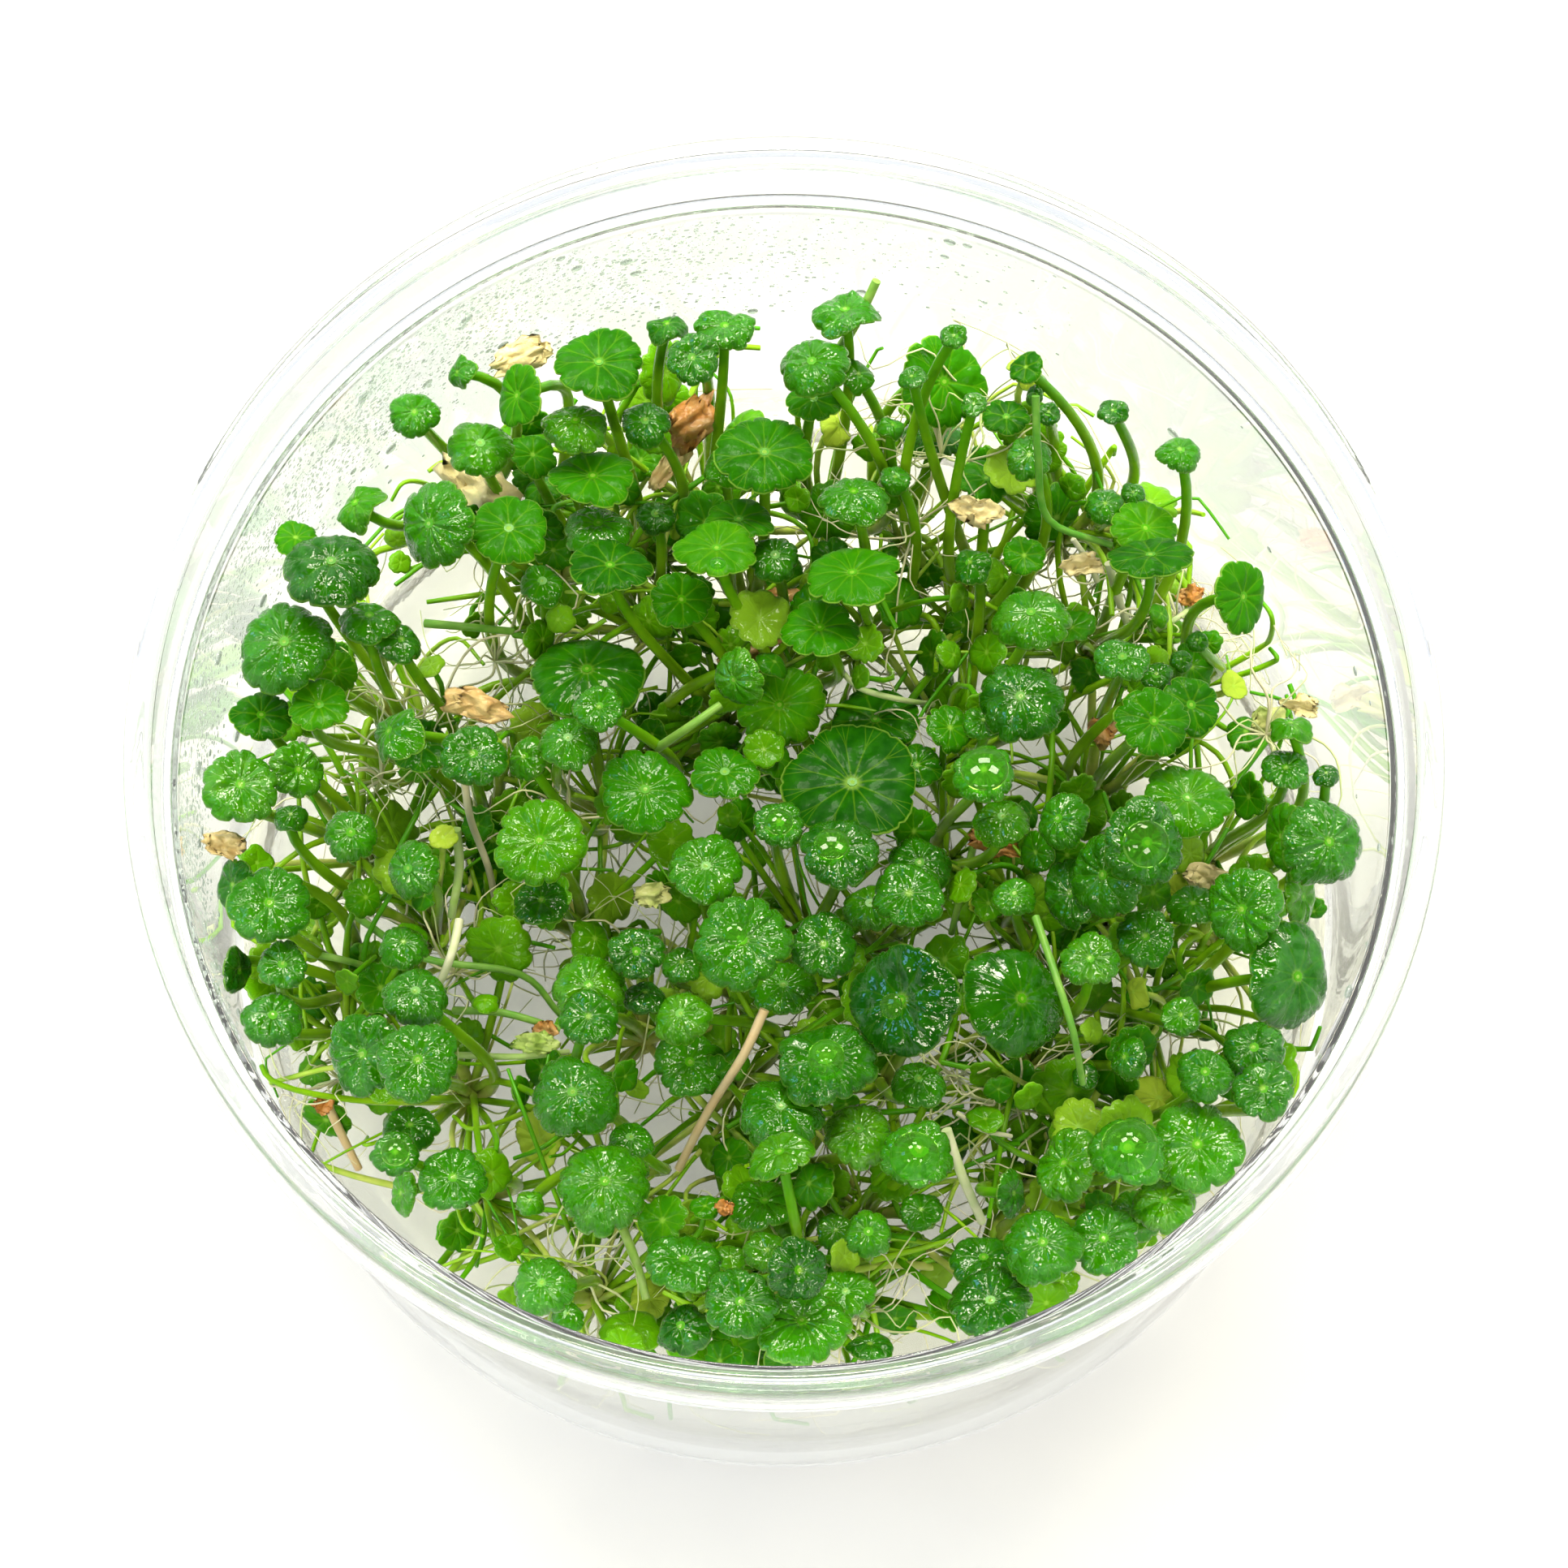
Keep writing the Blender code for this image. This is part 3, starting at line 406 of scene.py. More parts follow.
        Leaf(1250, 1470, 4.2, 37, 0.55, 0, Form.FLAT),
    ),
    "plantlet_52": (
        Leaf(1485, 1320, 5.0, 43, 0.95, 90, Form.DOME),
        Leaf(1545, 1290, 5.6, 42, 0.94, 90, Form.DOME),
        Leaf(1560, 1343, 5.4, 45, 0.94, 90, Form.CUP),
    ),
    "plantlet_53": (
        Leaf(1478, 1412, 8.0, 42, 0.95, 90, Form.FLAT),
        Leaf(1440, 1482, 5.6, 40, 0.92, 90, Form.DOME),
        Leaf(1397, 1492, 4.8, 37, 0.90, 90, Form.DOME),
    ),
    "plantlet_54": (
        Leaf(1285, 1530, 6.8, 43, 0.94, 90, Form.DOME),
        Leaf(1360, 1525, 6.2, 41, 0.94, 90, Form.FLAT),
        Leaf(1212, 1548, 5.8, 37, 0.74, 90, Form.FLAT),
        Leaf(1222, 1605, 7.2, 42, 0.84, 90, Form.RUFFLE),
    ),
    "plantlet_55": (
        Leaf(988, 1626, 8.2, 42, 0.78, 90, Form.FLAT),
        Leaf(1042, 1590, 5.0, 36, 0.86, 90, Form.FLAT),
        Leaf(1072, 1655, 4.2, 39, 0.55, 90, Form.FLAT),
    ),
    "plantlet_56": (
        Leaf(912, 1603, 6.4, 43, 0.94, 90, Form.CUP),
        Leaf(985, 1565, 5.6, 45, 0.90, 0, Form.CUP),
        Leaf(945, 1540, 4.0, 38, 0.88, 90, Form.FLAT),
    ),
    "plantlet_57": (
        Leaf(843, 1550, 7.0, 42, 0.70, 90, Form.CUP),
        Leaf(838, 1633, 4.8, 41, 0.88, 130, Form.DOME),
        Leaf(900, 1548, 3.0, 35, 0.80, 90, Form.FLAT),
    ),
    "plantlet_58": (
        Leaf(667, 1580, 5.4, 42, 0.93, 120, Form.DOME),
        Leaf(700, 1618, 3.0, 37, 0.85, 90, Form.DOME),
    ),
}

# Feet that show between the leaves, in the picture
FEET: dict[str, tuple[int, int]] = {
    "plantlet_01": (578, 640),
    "plantlet_09": (1204, 712),
    "plantlet_11": (1302, 668),
    "plantlet_13": (1350, 668),
    "plantlet_15": (1462, 850),
    "plantlet_23": (1418, 1262),
    "plantlet_30": (888, 915),
    "plantlet_31": (815, 930),
}


def sight(across: float, down: float) -> Vector:
    """Finds the direction from the eye through a place in the picture.

    Args:
        across: pixels from the picture's left edge.
        down: pixels from its top edge.

    Returns:
        A unit vector.
    """
    right = EYE_RIGHT * ((across - PICTURE_CENTRE) / FOCAL_PIXELS)
    up = EYE_UP * ((PICTURE_CENTRE - down) / FOCAL_PIXELS)
    return (right + up - EYE_BACK).normalized()


def seen_at(across: float, down: float, height: float) -> Vector:
    """Finds the place at a height that shows at a place in the picture.

    Args:
        across: pixels from the picture's left edge.
        down: pixels from its top edge.
        height: millimetres above the ground plane.

    Returns:
        The place in millimetres.
    """
    ray = sight(across, down)
    return EYE + ray * ((height - EYE.z) / ray.z)


def in_picture(point: Vector) -> tuple[float, float]:
    """Finds where a place shows in the picture, in pixels from its left and top edges."""
    away = point - EYE
    scale = -FOCAL_PIXELS / away.dot(EYE_BACK)
    return PICTURE_CENTRE + away.dot(EYE_RIGHT) * scale, PICTURE_CENTRE - away.dot(EYE_UP) * scale


def smooth_path(corners: np.ndarray, steps: int) -> np.ndarray:
    """Carries a smooth curve through points.

    Args:
        corners: the points that it passes.
        steps: the number of steps from each to the next.

    Returns:
        The curve's points, both ends with them.
    """
    ends = 2 * corners[0] - corners[1], 2 * corners[-1] - corners[-2]
    chain = np.vstack((ends[0], corners, ends[1]))
    t = (np.arange(steps) / steps)[:, None]
    line = []
    for a, b, c, d in zip(chain, chain[1:], chain[2:], chain[3:]):
        rise = (2 * a - 5 * b + 4 * c - d) * t**2 + (3 * b - a - 3 * c + d) * t**3
        line.append(b + ((c - a) * t + rise) / 2)
    return np.vstack((*line, corners[-1:]))


def wall_radius(height: float) -> float:
    """The cup's inner radius at a height, up to its ledge."""
    foot = FOOT_RADIUS - WALL
    return foot + (LEDGE_INNER_RADIUS - foot) * min(height / LEDGE_HEIGHT, 1.0)


def distance(a: np.ndarray, b: np.ndarray) -> float:
    """The least distance between two clouds of points, or FAR where it is more than that."""
    near = b[((b > a.min(0) - FAR) & (b < a.max(0) + FAR)).all(1)]
    if not len(near):
        return FAR
    return min(FAR, float(np.sqrt(((a[:, None] - near[None]) ** 2).sum(2).min())))


class Blade:
    """A round blade in space: its middle, its axes and its dished, wavy edge."""

    def __init__(self, leaf: Leaf) -> None:
        """Places the blade where the leaf's row says."""
        self.leaf = leaf
        self.radius = leaf.width / 2
        self.rise, self.wave = leaf.form.value
        self.points = next(count for least, count in EDGE_POINTS if leaf.width >= least)
        self.put_at(leaf.height)

    def put_at(self, height: float) -> None:
        """Slides the blade along its line of sight to a height, and in from the cup's wall."""
        ray = sight(self.leaf.across, self.leaf.down)
        self.height = height
        self.middle = EYE + ray * ((height - EYE.z) / ray.z)
        towards_eye = -ray
        right = (EYE_RIGHT - towards_eye * EYE_RIGHT.dot(towards_eye)).normalized()
        up = towards_eye.cross(right)
        lean = math.radians(self.leaf.lean)
        turn = math.acos(self.leaf.squash)
        aside = right * math.cos(lean) + up * math.sin(lean)
        self.normal = (towards_eye * math.cos(turn) + aside * math.sin(turn)).normalized()
        self.first = (EYE_RIGHT - self.normal * EYE_RIGHT.dot(self.normal)).normalized()
        self.second = self.normal.cross(self.first)
        outermost = max(self.rim(), key=lambda p: p.xy.length)
        excess = outermost.xy.length + WALL_ROOM - wall_radius(outermost.z)
        if excess > 0:
            outward = Vector((self.middle.x, self.middle.y, 0.0)).normalized()
            self.middle -= outward * excess / outward.xy.dot(outermost.xy.normalized())

    def at(self, share: float, angle: float, tuck: float = 0.0) -> Vector:
        """A point of the blade at a share of its radius and an angle round its middle."""
        reach = self.radius * share
        lift = reach * (self.rise + self.wave * math.sin(EDGE_WAVES * angle + self.leaf.across))
        outward = self.first * math.cos(angle) + self.second * math.sin(angle)
        return self.middle + outward * (reach * (1 - tuck)) + self.normal * lift

    def rim(self) -> list[Vector]:
        """The edge's points, with every second one drawn in as a notch between two lobes."""
        step = 2 * math.pi / self.points
        return [self.at(1.0, step * i, NOTCH_DEPTH * (i % 2)) for i in range(self.points)]

    def samples(self) -> np.ndarray:
        """Points spread over the blade, for measuring its distance to others."""
        spread = [self.middle]
        for share in SAMPLE_RINGS:
            count = max(6, int(2 * math.pi * self.radius * share / SAMPLE_SPACING))
            spread += [self.at(share, 2 * math.pi * i / count) for i in range(count)]
        return np.array(spread)


class Stalk:
    """A stalk from a crown to the underside of a blade, as a smooth curve."""

    def __init__(self, foot: Vector, blade: Blade, sway: Vector) -> None:
        """Lays the curve from the foot to the blade with a bow to one side."""
        self.blade = blade
        top = blade.middle - blade.normal * BLADE_THICKNESS
        rise = top.z - foot.z
        leave = foot + Vector((0, 0, LEAVE * rise)) + sway
        arrive = top - blade.normal * (ARRIVE * rise) + sway * TOP_BOW
        self.pulls = (foot, leave, arrive, top)
        self.points = self.along(STALK_STEPS)

    def along(self, steps: int) -> list[Vector]:
        """Evenly spaced points on the curve, both ends with them."""
        a, b, c, d = self.pulls
        line = []
        for i in range(steps + 1):
            t = i / steps
            s = 1 - t
            line.append(a * s**3 + b * (3 * s * s * t) + c * (3 * s * t * t) + d * t**3)
        return line

    def samples(self) -> np.ndarray:
        """Points along the stalk, from just above the crown to just under the blade."""
        spread = []
        for a, b in zip(self.points, self.points[1:]):
            spread += [a.lerp(b, k / SAMPLES_A_STEP) for k in range(SAMPLES_A_STEP)]
        return np.array(spread[3:-2])


def lift_blades(blades: list[Blade]) -> None:
    """Lifts each blade, the lowest first, until it clears those already placed."""
    placed = np.empty((0, 3))
    for blade in sorted(blades, key=lambda b: b.height):
        while len(placed) and distance(blade.samples(), placed) < BLADE_ROOM:
            if blade.height + LIFT_STEP > CANOPY_TOP:
                break
            blade.put_at(blade.height + LIFT_STEP)
        placed = np.vstack((placed, blade.samples()))


def crown_place(name: str, blades: list[Blade]) -> Vector:
    """The crown stands on the gel where its foot shows, or else under the middle of its blades."""
    height = GEL_TOP + CONTACT_GAP + CROWN_DEPTH
    if name in FEET:
        ray = sight(*FEET[name])
        return EYE + ray * ((height - EYE.z) / ray.z)
    middle = sum((b.middle for b in blades), Vector()) / len(blades)
    return Vector((middle.x * CROWN_PULL, middle.y * CROWN_PULL, height))


def sways() -> Iterator[Vector]:
    """The ways a stalk may bow on its way up, from straight to strongly bowed."""
    yield Vector((0.0, 0.0, 0.0))
    for reach in BOWS:
        for step in range(BOW_HEADINGS):
            angle = 2 * math.pi * step / BOW_HEADINGS
            yield Vector((reach * math.cos(angle), reach * math.sin(angle), 0.0))


def room_round(stalk: Stalk, others: np.ndarray, laid: np.ndarray) -> float:
    """The least room between a stalk and the other blades, the laid stalks and the wall."""
    own = stalk.samples()
    limits = np.array([wall_radius(height) for height in own[:, 2]])
    wall_room = (limits - np.hypot(own[:, 0], own[:, 1])).min()
    return min(
        distance(own, others),
        distance(own, laid),
        float(wall_room) + STALK_ROOM - STALK_WALL_ROOM,
    )


def route_stalks(plants: dict[str, list[Blade]]) -> tuple[dict[str, Vector], dict[int, Stalk]]:
    """Gives each blade, the largest first, a stalk that keeps clear of all that is in its way.

    Args:
        plants: the blades of each plantlet.

    Returns:
        The crown of each plantlet, and each blade's stalk by the blade's id.
    """
    crowns = {name: crown_place(name, group) for name, group in plants.items()}
    pairs = [(name, blade) for name, group in plants.items() for blade in group]
    clouds = {id(blade): blade.samples() for _, blade in pairs}
    stalks: dict[int, Stalk] = {}
    laid = np.empty((0, 3))
    for name, blade in sorted(pairs, key=lambda pair: -pair[1].radius):
        others = np.vstack([cloud for key, cloud in clouds.items() if key != id(blade)])
        best, best_room = None, -FAR
        for sway in sways():
            stalk = Stalk(crowns[name], blade, sway)
            room = room_round(stalk, others, laid)
            if room > best_room:
                best, best_room = stalk, room
            if room > STALK_ROOM:
                break
        stalks[id(blade)] = best
        laid = np.vstack((laid, best.samples()))
    return crowns, stalks


@dataclass
class Draft:
    """Points, faces, edges and values at points that become one mesh."""

    points: list[np.ndarray] = field(default_factory=list)
    faces: list[list[int]] = field(default_factory=list)
    edges: list[tuple[int, int]] = field(default_factory=list)
    flat: list[np.ndarray] = field(default_factory=list)
    values: dict[str, list[np.ndarray]] = field(default_factory=dict)
    count: int = 0

    def add(
        self,
        points: np.ndarray,
        faces: list[list[int]],
        flat: np.ndarray | None = None,
        edges: list[tuple[int, int]] | None = None,
        **values: Any,
    ) -> None:
        """Adds a patch.

        Args:
            points: its points in millimetres.
            faces: its faces, as numbers of its own points.
            flat: each point's place on the flat pattern, for the UV map.
            edges: loose edges, as numbers of its own points.
            values: one number for the patch or one for each point, by name.
        """
        start = self.count
        self.points.append(points)
        self.faces += [[i + start for i in face] for face in faces]
        self.edges += [(a + start, b + start) for a, b in edges or []]
        self.flat.append(np.full((len(points), 2), 0.5) if flat is None else flat)
        for name, value in values.items():
            column = np.broadcast_to(np.asarray(value, float), (len(points),))
            self.values.setdefault(name, []).append(column)
        self.count += len(points)

    def finish(self, name: str, materials: list[bpy.types.Material]) -> bpy.types.Object:
        """Makes the mesh's object, in metres, shaded smooth.

        Args:
            name: the piece's name.
            materials: its material slots.

        Returns:
            The object, at the origin.
        """
        points = np.vstack(self.points) * MM
        mesh = bpy.data.meshes.new(name)
        mesh.from_pydata(points.tolist(), self.edges, self.faces)
        corners = np.empty(len(mesh.loops), int)
        mesh.loops.foreach_get("vertex_index", corners)
        layer = mesh.uv_layers.new(name="UVMap")
        layer.data.foreach_set("uv", np.vstack(self.flat)[corners].astype(np.float32).ravel())
        for key, columns in self.values.items():
            attribute = mesh.attributes.new(key, "FLOAT", "POINT")
            attribute.data.foreach_set("value", np.concatenate(columns).astype(np.float32))
        mesh.shade_smooth()
        for material in materials:
            mesh.materials.append(material)
        thing = bpy.data.objects.new(name, mesh)
        bpy.context.scene.collection.objects.link(thing)
        return thing


def linear(code: str) -> tuple[float, float, float, float]:
    """Turns an sRGB hex colour such as "3C9A1E" into linear red, green, blue and alpha."""
    shares = [int(code[i : i + 2], 16) / 255 for i in (0, 2, 4)]
    red, green, blue = (s / 12.92 if s <= 0.04045 else ((s + 0.055) / 1.055) ** 2.4 for s in shares)
    return red, green, blue, 1.0


def add_node(tree: bpy.types.NodeTree, kind: str, inputs: dict | None = None, **settings: Any) -> Any:
    """Adds a node with its settings and links.

    Args:
        tree: the tree it goes into.
        kind: the node's type name.
        inputs: a value or a socket to link from, by the input's name or number.
        settings: the node's own properties.

    Returns:
        The new node.
    """
    node = tree.nodes.new(kind)
    for key, value in settings.items():
        setattr(node, key, value)
    for key, value in (inputs or {}).items():
        socket = node.inputs[key]
        if isinstance(value, bpy.types.NodeSocket):
            tree.links.new(value, socket)
        else:
            socket.default_value = value
    return node


def new_material(name: str) -> tuple[bpy.types.Material, bpy.types.NodeTree, Any]:
    """Makes a material with one Principled shader and returns it, its tree and the shader."""
    material = bpy.data.materials.new(name)
    material.use_nodes = True
    tree = material.node_tree
    return material, tree, tree.nodes["Principled BSDF"]


def smooth_step(tree: bpy.types.NodeTree, value: Any, low: Any, high: Any, start: float, end: float) -> Any:
    """Adds a smooth change of a value from start, at low, to end, at high, and returns its socket."""
    inputs = {"Value": value, "From Min": low, "From Max": high, "To Min": start, "To Max": end}
    return add_node(tree, "ShaderNodeMapRange", inputs, interpolation_type="SMOOTHSTEP").outputs[0]


def mixed(tree: bpy.types.NodeTree, share: Any, first: Any, second: Any, blend: str = "MIX") -> Any:
    """Adds a mix of two colours and returns its socket."""
    node = add_node(tree, "ShaderNodeMix", data_type="RGBA", blend_type=blend)
    for socket, value in ((node.inputs[0], share), (node.inputs[6], first), (node.inputs[7], second)):
        if isinstance(value, bpy.types.NodeSocket):
            tree.links.new(value, socket)
        else:
            socket.default_value = value
    return node.outputs[2]


def maths(tree: bpy.types.NodeTree, operation: str, *values: Any) -> Any:
    """Adds a sum, product or the like of values and sockets and returns its socket."""
    return add_node(tree, "ShaderNodeMath", dict(enumerate(values)), operation=operation).outputs[0]


@dataclass(frozen=True)
class LeafTissue:
    """Living leaf: a waxy green skin over soft tissue, lighter along its veins and at its edge.

    The skin is smooth between the veins, where it swells a little, so it mirrors lamps in blotches.
    """

    deep: str = "0A4000"
    middle: str = "276B00"
    fresh: str = "4F8B03"
    lime: str = "8FAA30"
    vein: str = "81AE1A"
    margin: str = "8BB543"
    under: str = "4D881D"
    vein_width: float = 0.16
    fork_from: float = 0.48
    fork_spread: float = 0.24
    swell: float = 0.9

    def make(self) -> bpy.types.Material:
        """Builds the material from the blade's flat pattern and its point values."""
        material, tree, shader = new_material("pennywort_leaf_tissue")
        flat = add_node(tree, "ShaderNodeUVMap", uv_map="UVMap").outputs["UV"]
        offset = add_node(
            tree, "ShaderNodeVectorMath", {0: flat, 1: (0.5, 0.5, 0.0)}, operation="SUBTRACT"
        ).outputs[0]
        parts = add_node(tree, "ShaderNodeSeparateXYZ", {0: offset})
        length = add_node(tree, "ShaderNodeVectorMath", {0: offset}, operation="LENGTH").outputs["Value"]
        reach = maths(tree, "MULTIPLY", length, 2.0)
        angle = maths(tree, "ARCTAN2", parts.outputs["Y"], parts.outputs["X"])
        lobes = add_node(tree, "ShaderNodeAttribute", attribute_name="lobes").outputs["Fac"]
        size = add_node(tree, "ShaderNodeAttribute", attribute_name="size").outputs["Fac"]
        tone = add_node(tree, "ShaderNodeAttribute", attribute_name="tone").outputs["Fac"]
        gloss = add_node(tree, "ShaderNodeAttribute", attribute_name="gloss").outputs["Fac"]
        side = add_node(tree, "ShaderNodeAttribute", attribute_name="side").outputs["Fac"]

        turns = maths(tree, "MULTIPLY", maths(tree, "DIVIDE", angle, 2 * math.pi), lobes)
        within = maths(tree, "FRACT", maths(tree, "ADD", turns, 64.0))
        aside = maths(tree, "ABSOLUTE", maths(tree, "SUBTRACT", within, 0.5))
        lobe_mm = maths(tree, "DIVIDE", maths(tree, "MULTIPLY", maths(tree, "MULTIPLY", reach, size), 2 * math.pi), lobes)
        main_off = maths(tree, "MULTIPLY", aside, lobe_mm)
        width = smooth_step(tree, reach, 0.0, 1.0, self.vein_width, self.vein_width * 0.35)
        main = smooth_step(tree, main_off, 0.0, width, 1.0, 0.0)
        spread = maths(tree, "MULTIPLY", smooth_step(tree, reach, self.fork_from, 1.0, 0.0, 1.0), self.fork_spread)
        fork_off = maths(tree, "MULTIPLY", maths(tree, "ABSOLUTE", maths(tree, "SUBTRACT", aside, spread)), lobe_mm)
        fork = smooth_step(tree, fork_off, 0.0, self.vein_width * 0.55, 0.8, 0.0)
        fork = maths(tree, "MULTIPLY", fork, smooth_step(tree, reach, self.fork_from, self.fork_from + 0.08, 0.0, 1.0))
        veins = maths(tree, "MAXIMUM", main, fork)
        hub = smooth_step(tree, reach, 0.03, 0.16, 1.0, 0.0)
        veins = maths(tree, "MAXIMUM", veins, hub)

        place = add_node(tree, "ShaderNodeTexCoord").outputs["Object"]
        mottle = add_node(tree, "ShaderNodeTexNoise", {"Vector": place, "Scale": 650.0, "Detail": 3.0, "Roughness": 0.55})
        fine = add_node(tree, "ShaderNodeTexNoise", {"Vector": place, "Scale": 2300.0, "Detail": 2.0, "Roughness": 0.6})
        cells = add_node(tree, "ShaderNodeTexVoronoi", {"Vector": place, "Scale": 1500.0}, feature="DISTANCE_TO_EDGE")

        shifted = maths(tree, "ADD", tone, maths(tree, "MULTIPLY", maths(tree, "SUBTRACT", mottle.outputs["Fac"], 0.5), 0.55))
        low = mixed(tree, smooth_step(tree, shifted, 0.0, 0.5, 0.0, 1.0), linear(self.deep), linear(self.middle))
        skin = mixed(tree, smooth_step(tree, shifted, 0.5, 1.0, 0.0, 1.0), low, linear(self.fresh))
        skin = mixed(tree, smooth_step(tree, tone, 1.0, 1.5, 0.0, 1.0), skin, linear(self.lime))
        vein_share = maths(tree, "MULTIPLY", veins, smooth_step(tree, gloss, 0.2, 0.8, 0.2, 0.05))
        skin = mixed(tree, vein_share, skin, linear(self.vein))
        skin = mixed(tree, maths(tree, "MULTIPLY", hub, 0.5), skin, linear(self.margin))
        edge = maths(tree, "MULTIPLY", smooth_step(tree, reach, 0.955, 1.0, 0.0, 1.0), smooth_step(tree, gloss, 0.3, 1.0, 0.6, 0.2))
        skin = mixed(tree, edge, skin, linear(self.margin))
        skin = mixed(tree, maths(tree, "MULTIPLY", side, 0.65), skin, linear(self.under))
        tree.links.new(skin, shader.inputs["Base Color"])

        rough = smooth_step(tree, gloss, 0.0, 1.0, 0.4, 0.26)
        rough = maths(tree, "ADD", rough, maths(tree, "MULTIPLY_ADD", fine.outputs["Fac"], 0.3, -0.14))
        tree.links.new(rough, shader.inputs["Roughness"])
        wet = smooth_step(tree, gloss, 0.3, 0.9, 0.0, 1.0)
        patches = smooth_step(tree, mottle.outputs["Fac"], 0.36, 0.52, 0.25, 1.0)
        tree.links.new(maths(tree, "MULTIPLY", wet, patches), shader.inputs["Coat Weight"])
        shader.inputs["Coat Roughness"].default_value = 0.09
        shader.inputs["Coat IOR"].default_value = 1.5

        ribs = maths(tree, "MULTIPLY", veins, -0.15)
        quilt = maths(tree, "MULTIPLY", smooth_step(tree, cells.outputs["Distance"], 0.0, 0.35, 0.0, 1.0), gloss)
        relief = maths(tree, "ADD", ribs, maths(tree, "MULTIPLY", quilt, 0.25))
        relief = maths(tree, "ADD", relief, maths(tree, "MULTIPLY", mottle.outputs["Fac"], self.swell))
        relief = maths(tree, "ADD", relief, maths(tree, "MULTIPLY", fine.outputs["Fac"], 0.16))
        plain = smooth_step(tree, size, SMOOTH_RADIUS - 0.2, SMOOTH_RADIUS + 0.4, 1.0, 0.35)
        relief = maths(tree, "MULTIPLY", relief, maths(tree, "MULTIPLY", smooth_step(tree, gloss, 0.0, 1.0, 0.4, 1.0), plain))
        bump = add_node(tree, "ShaderNodeBump", {"Strength": 0.6, "Distance": 0.00035, "Height": relief})
        tree.links.new(bump.outputs["Normal"], shader.inputs["Normal"])
        tree.links.new(bump.outputs["Normal"], shader.inputs["Coat Normal"])
        shader.inputs["IOR"].default_value = 1.4
        shader.inputs["Specular IOR Level"].default_value = 0.05
        return material


@dataclass(frozen=True)
class StalkTissue:
    """Living stalk: a smooth, juicy, half see-through skin, pale at its foot and green above."""

    foot: str = "BCC367"
    low: str = "7FB113"
    top: str = "438F06"

    def make(self) -> bpy.types.Material:
        """Builds the material from the share of the way along the stalk."""
        material, tree, shader = new_material("pennywort_stalk_tissue")
        along = add_node(tree, "ShaderNodeAttribute", attribute_name="along").outputs["Fac"]
        tone = add_node(tree, "ShaderNodeAttribute", attribute_name="tone").outputs["Fac"]
        place = add_node(tree, "ShaderNodeTexCoord").outputs["Object"]
        streak = add_node(tree, "ShaderNodeTexNoise", {"Vector": place, "Scale": 900.0, "Detail": 2.0})
        shifted = maths(tree, "ADD", along, maths(tree, "MULTIPLY", maths(tree, "SUBTRACT", streak.outputs["Fac"], 0.5), 0.3))
        colour = mixed(tree, smooth_step(tree, shifted, 0.0, 0.4, 0.0, 1.0), linear(self.foot), linear(self.low))
        colour = mixed(tree, smooth_step(tree, shifted, 0.35, 1.0, 0.0, 1.0), colour, linear(self.top))
        darker = smooth_step(tree, tone, 0.0, 1.0, 0.75, 1.0)
        colour = mixed(tree, 1.0, colour, add_node(tree, "ShaderNodeCombineColor", {0: darker, 1: darker, 2: darker}).outputs[0], "MULTIPLY")
        tree.links.new(colour, shader.inputs["Base Color"])
        shader.inputs["Roughness"].default_value = 0.25
        shader.inputs["IOR"].default_value = 1.4
        shader.inputs["Specular IOR Level"].default_value = 0.3
        return material


@dataclass(frozen=True)
class ClearPlastic:
    """Injection-moulded clear polystyrene: hard, polished, almost colourless and a touch cloudy."""

    tint: str = "FCFEFF"
    roughness: float = 0.0
    ior: float = 1.49
    clear: float = 0.97

    def make(self) -> bpy.types.Material:
        """Builds the material with a slight unevenness from moulding."""
        material, tree, shader = new_material("clear_polystyrene")
        place = add_node(tree, "ShaderNodeTexCoord").outputs["Object"]
        flow = add_node(tree, "ShaderNodeTexNoise", {"Vector": place, "Scale": 60.0, "Detail": 2.0})
        bump = add_node(tree, "ShaderNodeBump", {"Strength": 0.04, "Distance": 0.0004, "Height": flow.outputs["Fac"]})
        tree.links.new(bump.outputs["Normal"], shader.inputs["Normal"])
        shader.inputs["Base Color"].default_value = linear(self.tint)
        shader.inputs["Roughness"].default_value = self.roughness
        shader.inputs["IOR"].default_value = self.ior
        shader.inputs["Transmission Weight"].default_value = self.clear
        return material


@dataclass(frozen=True)
class NutrientGel:
    """Agar gel: wet on top, slightly cloudy, with a faint grey-green cast."""

    tint: str = "E2E2D6"

    def make(self) -> bpy.types.Material:
        """Builds the material with a fine unevenness of its wet surface."""
        material, tree, shader = new_material("agar_gel")
        place = add_node(tree, "ShaderNodeTexCoord").outputs["Object"]
        lumps = add_node(tree, "ShaderNodeTexNoise", {"Vector": place, "Scale": 260.0, "Detail": 3.0})
        bump = add_node(tree, "ShaderNodeBump", {"Strength": 0.35, "Distance": 0.0008, "Height": lumps.outputs["Fac"]})
        tree.links.new(bump.outputs["Normal"], shader.inputs["Normal"])
        shader.inputs["Base Color"].default_value = linear(self.tint)
        shader.inputs["Roughness"].default_value = 0.1
        shader.inputs["IOR"].default_value = 1.34
        shader.inputs["Transmission Weight"].default_value = 0.92
        return material


@dataclass(frozen=True)
class ClearWater:
    """Clean water, mirror-smooth, with a painted cast: the share of it that is not clear takes a colour that stands in
    for the leaves seen through it.
    """

    def make(self, name: str, tint: str, clear: float, rough: float) -> bpy.types.Material:
        """Builds the material.

        Args:
            name: the material's name.
            tint: a painted cast put into the water's own colour: the green of the lit leaf seen through a drop, or the
                grey-green of the leaves seen through the wall.
            clear: the share of light that passes straight through; the rest shows the painted tint.
            rough: how uneven its skin is.

        Returns:
            The material.
        """
        material, _, shader = new_material(name)
        # Base colour: the painted cast of the leaves seen through the water, which real clear water would not have.
        shader.inputs["Base Color"].default_value = linear(tint)
        shader.inputs["Roughness"].default_value = rough
        shader.inputs["IOR"].default_value = 1.33
        shader.inputs["Transmission Weight"].default_value = clear
        return material


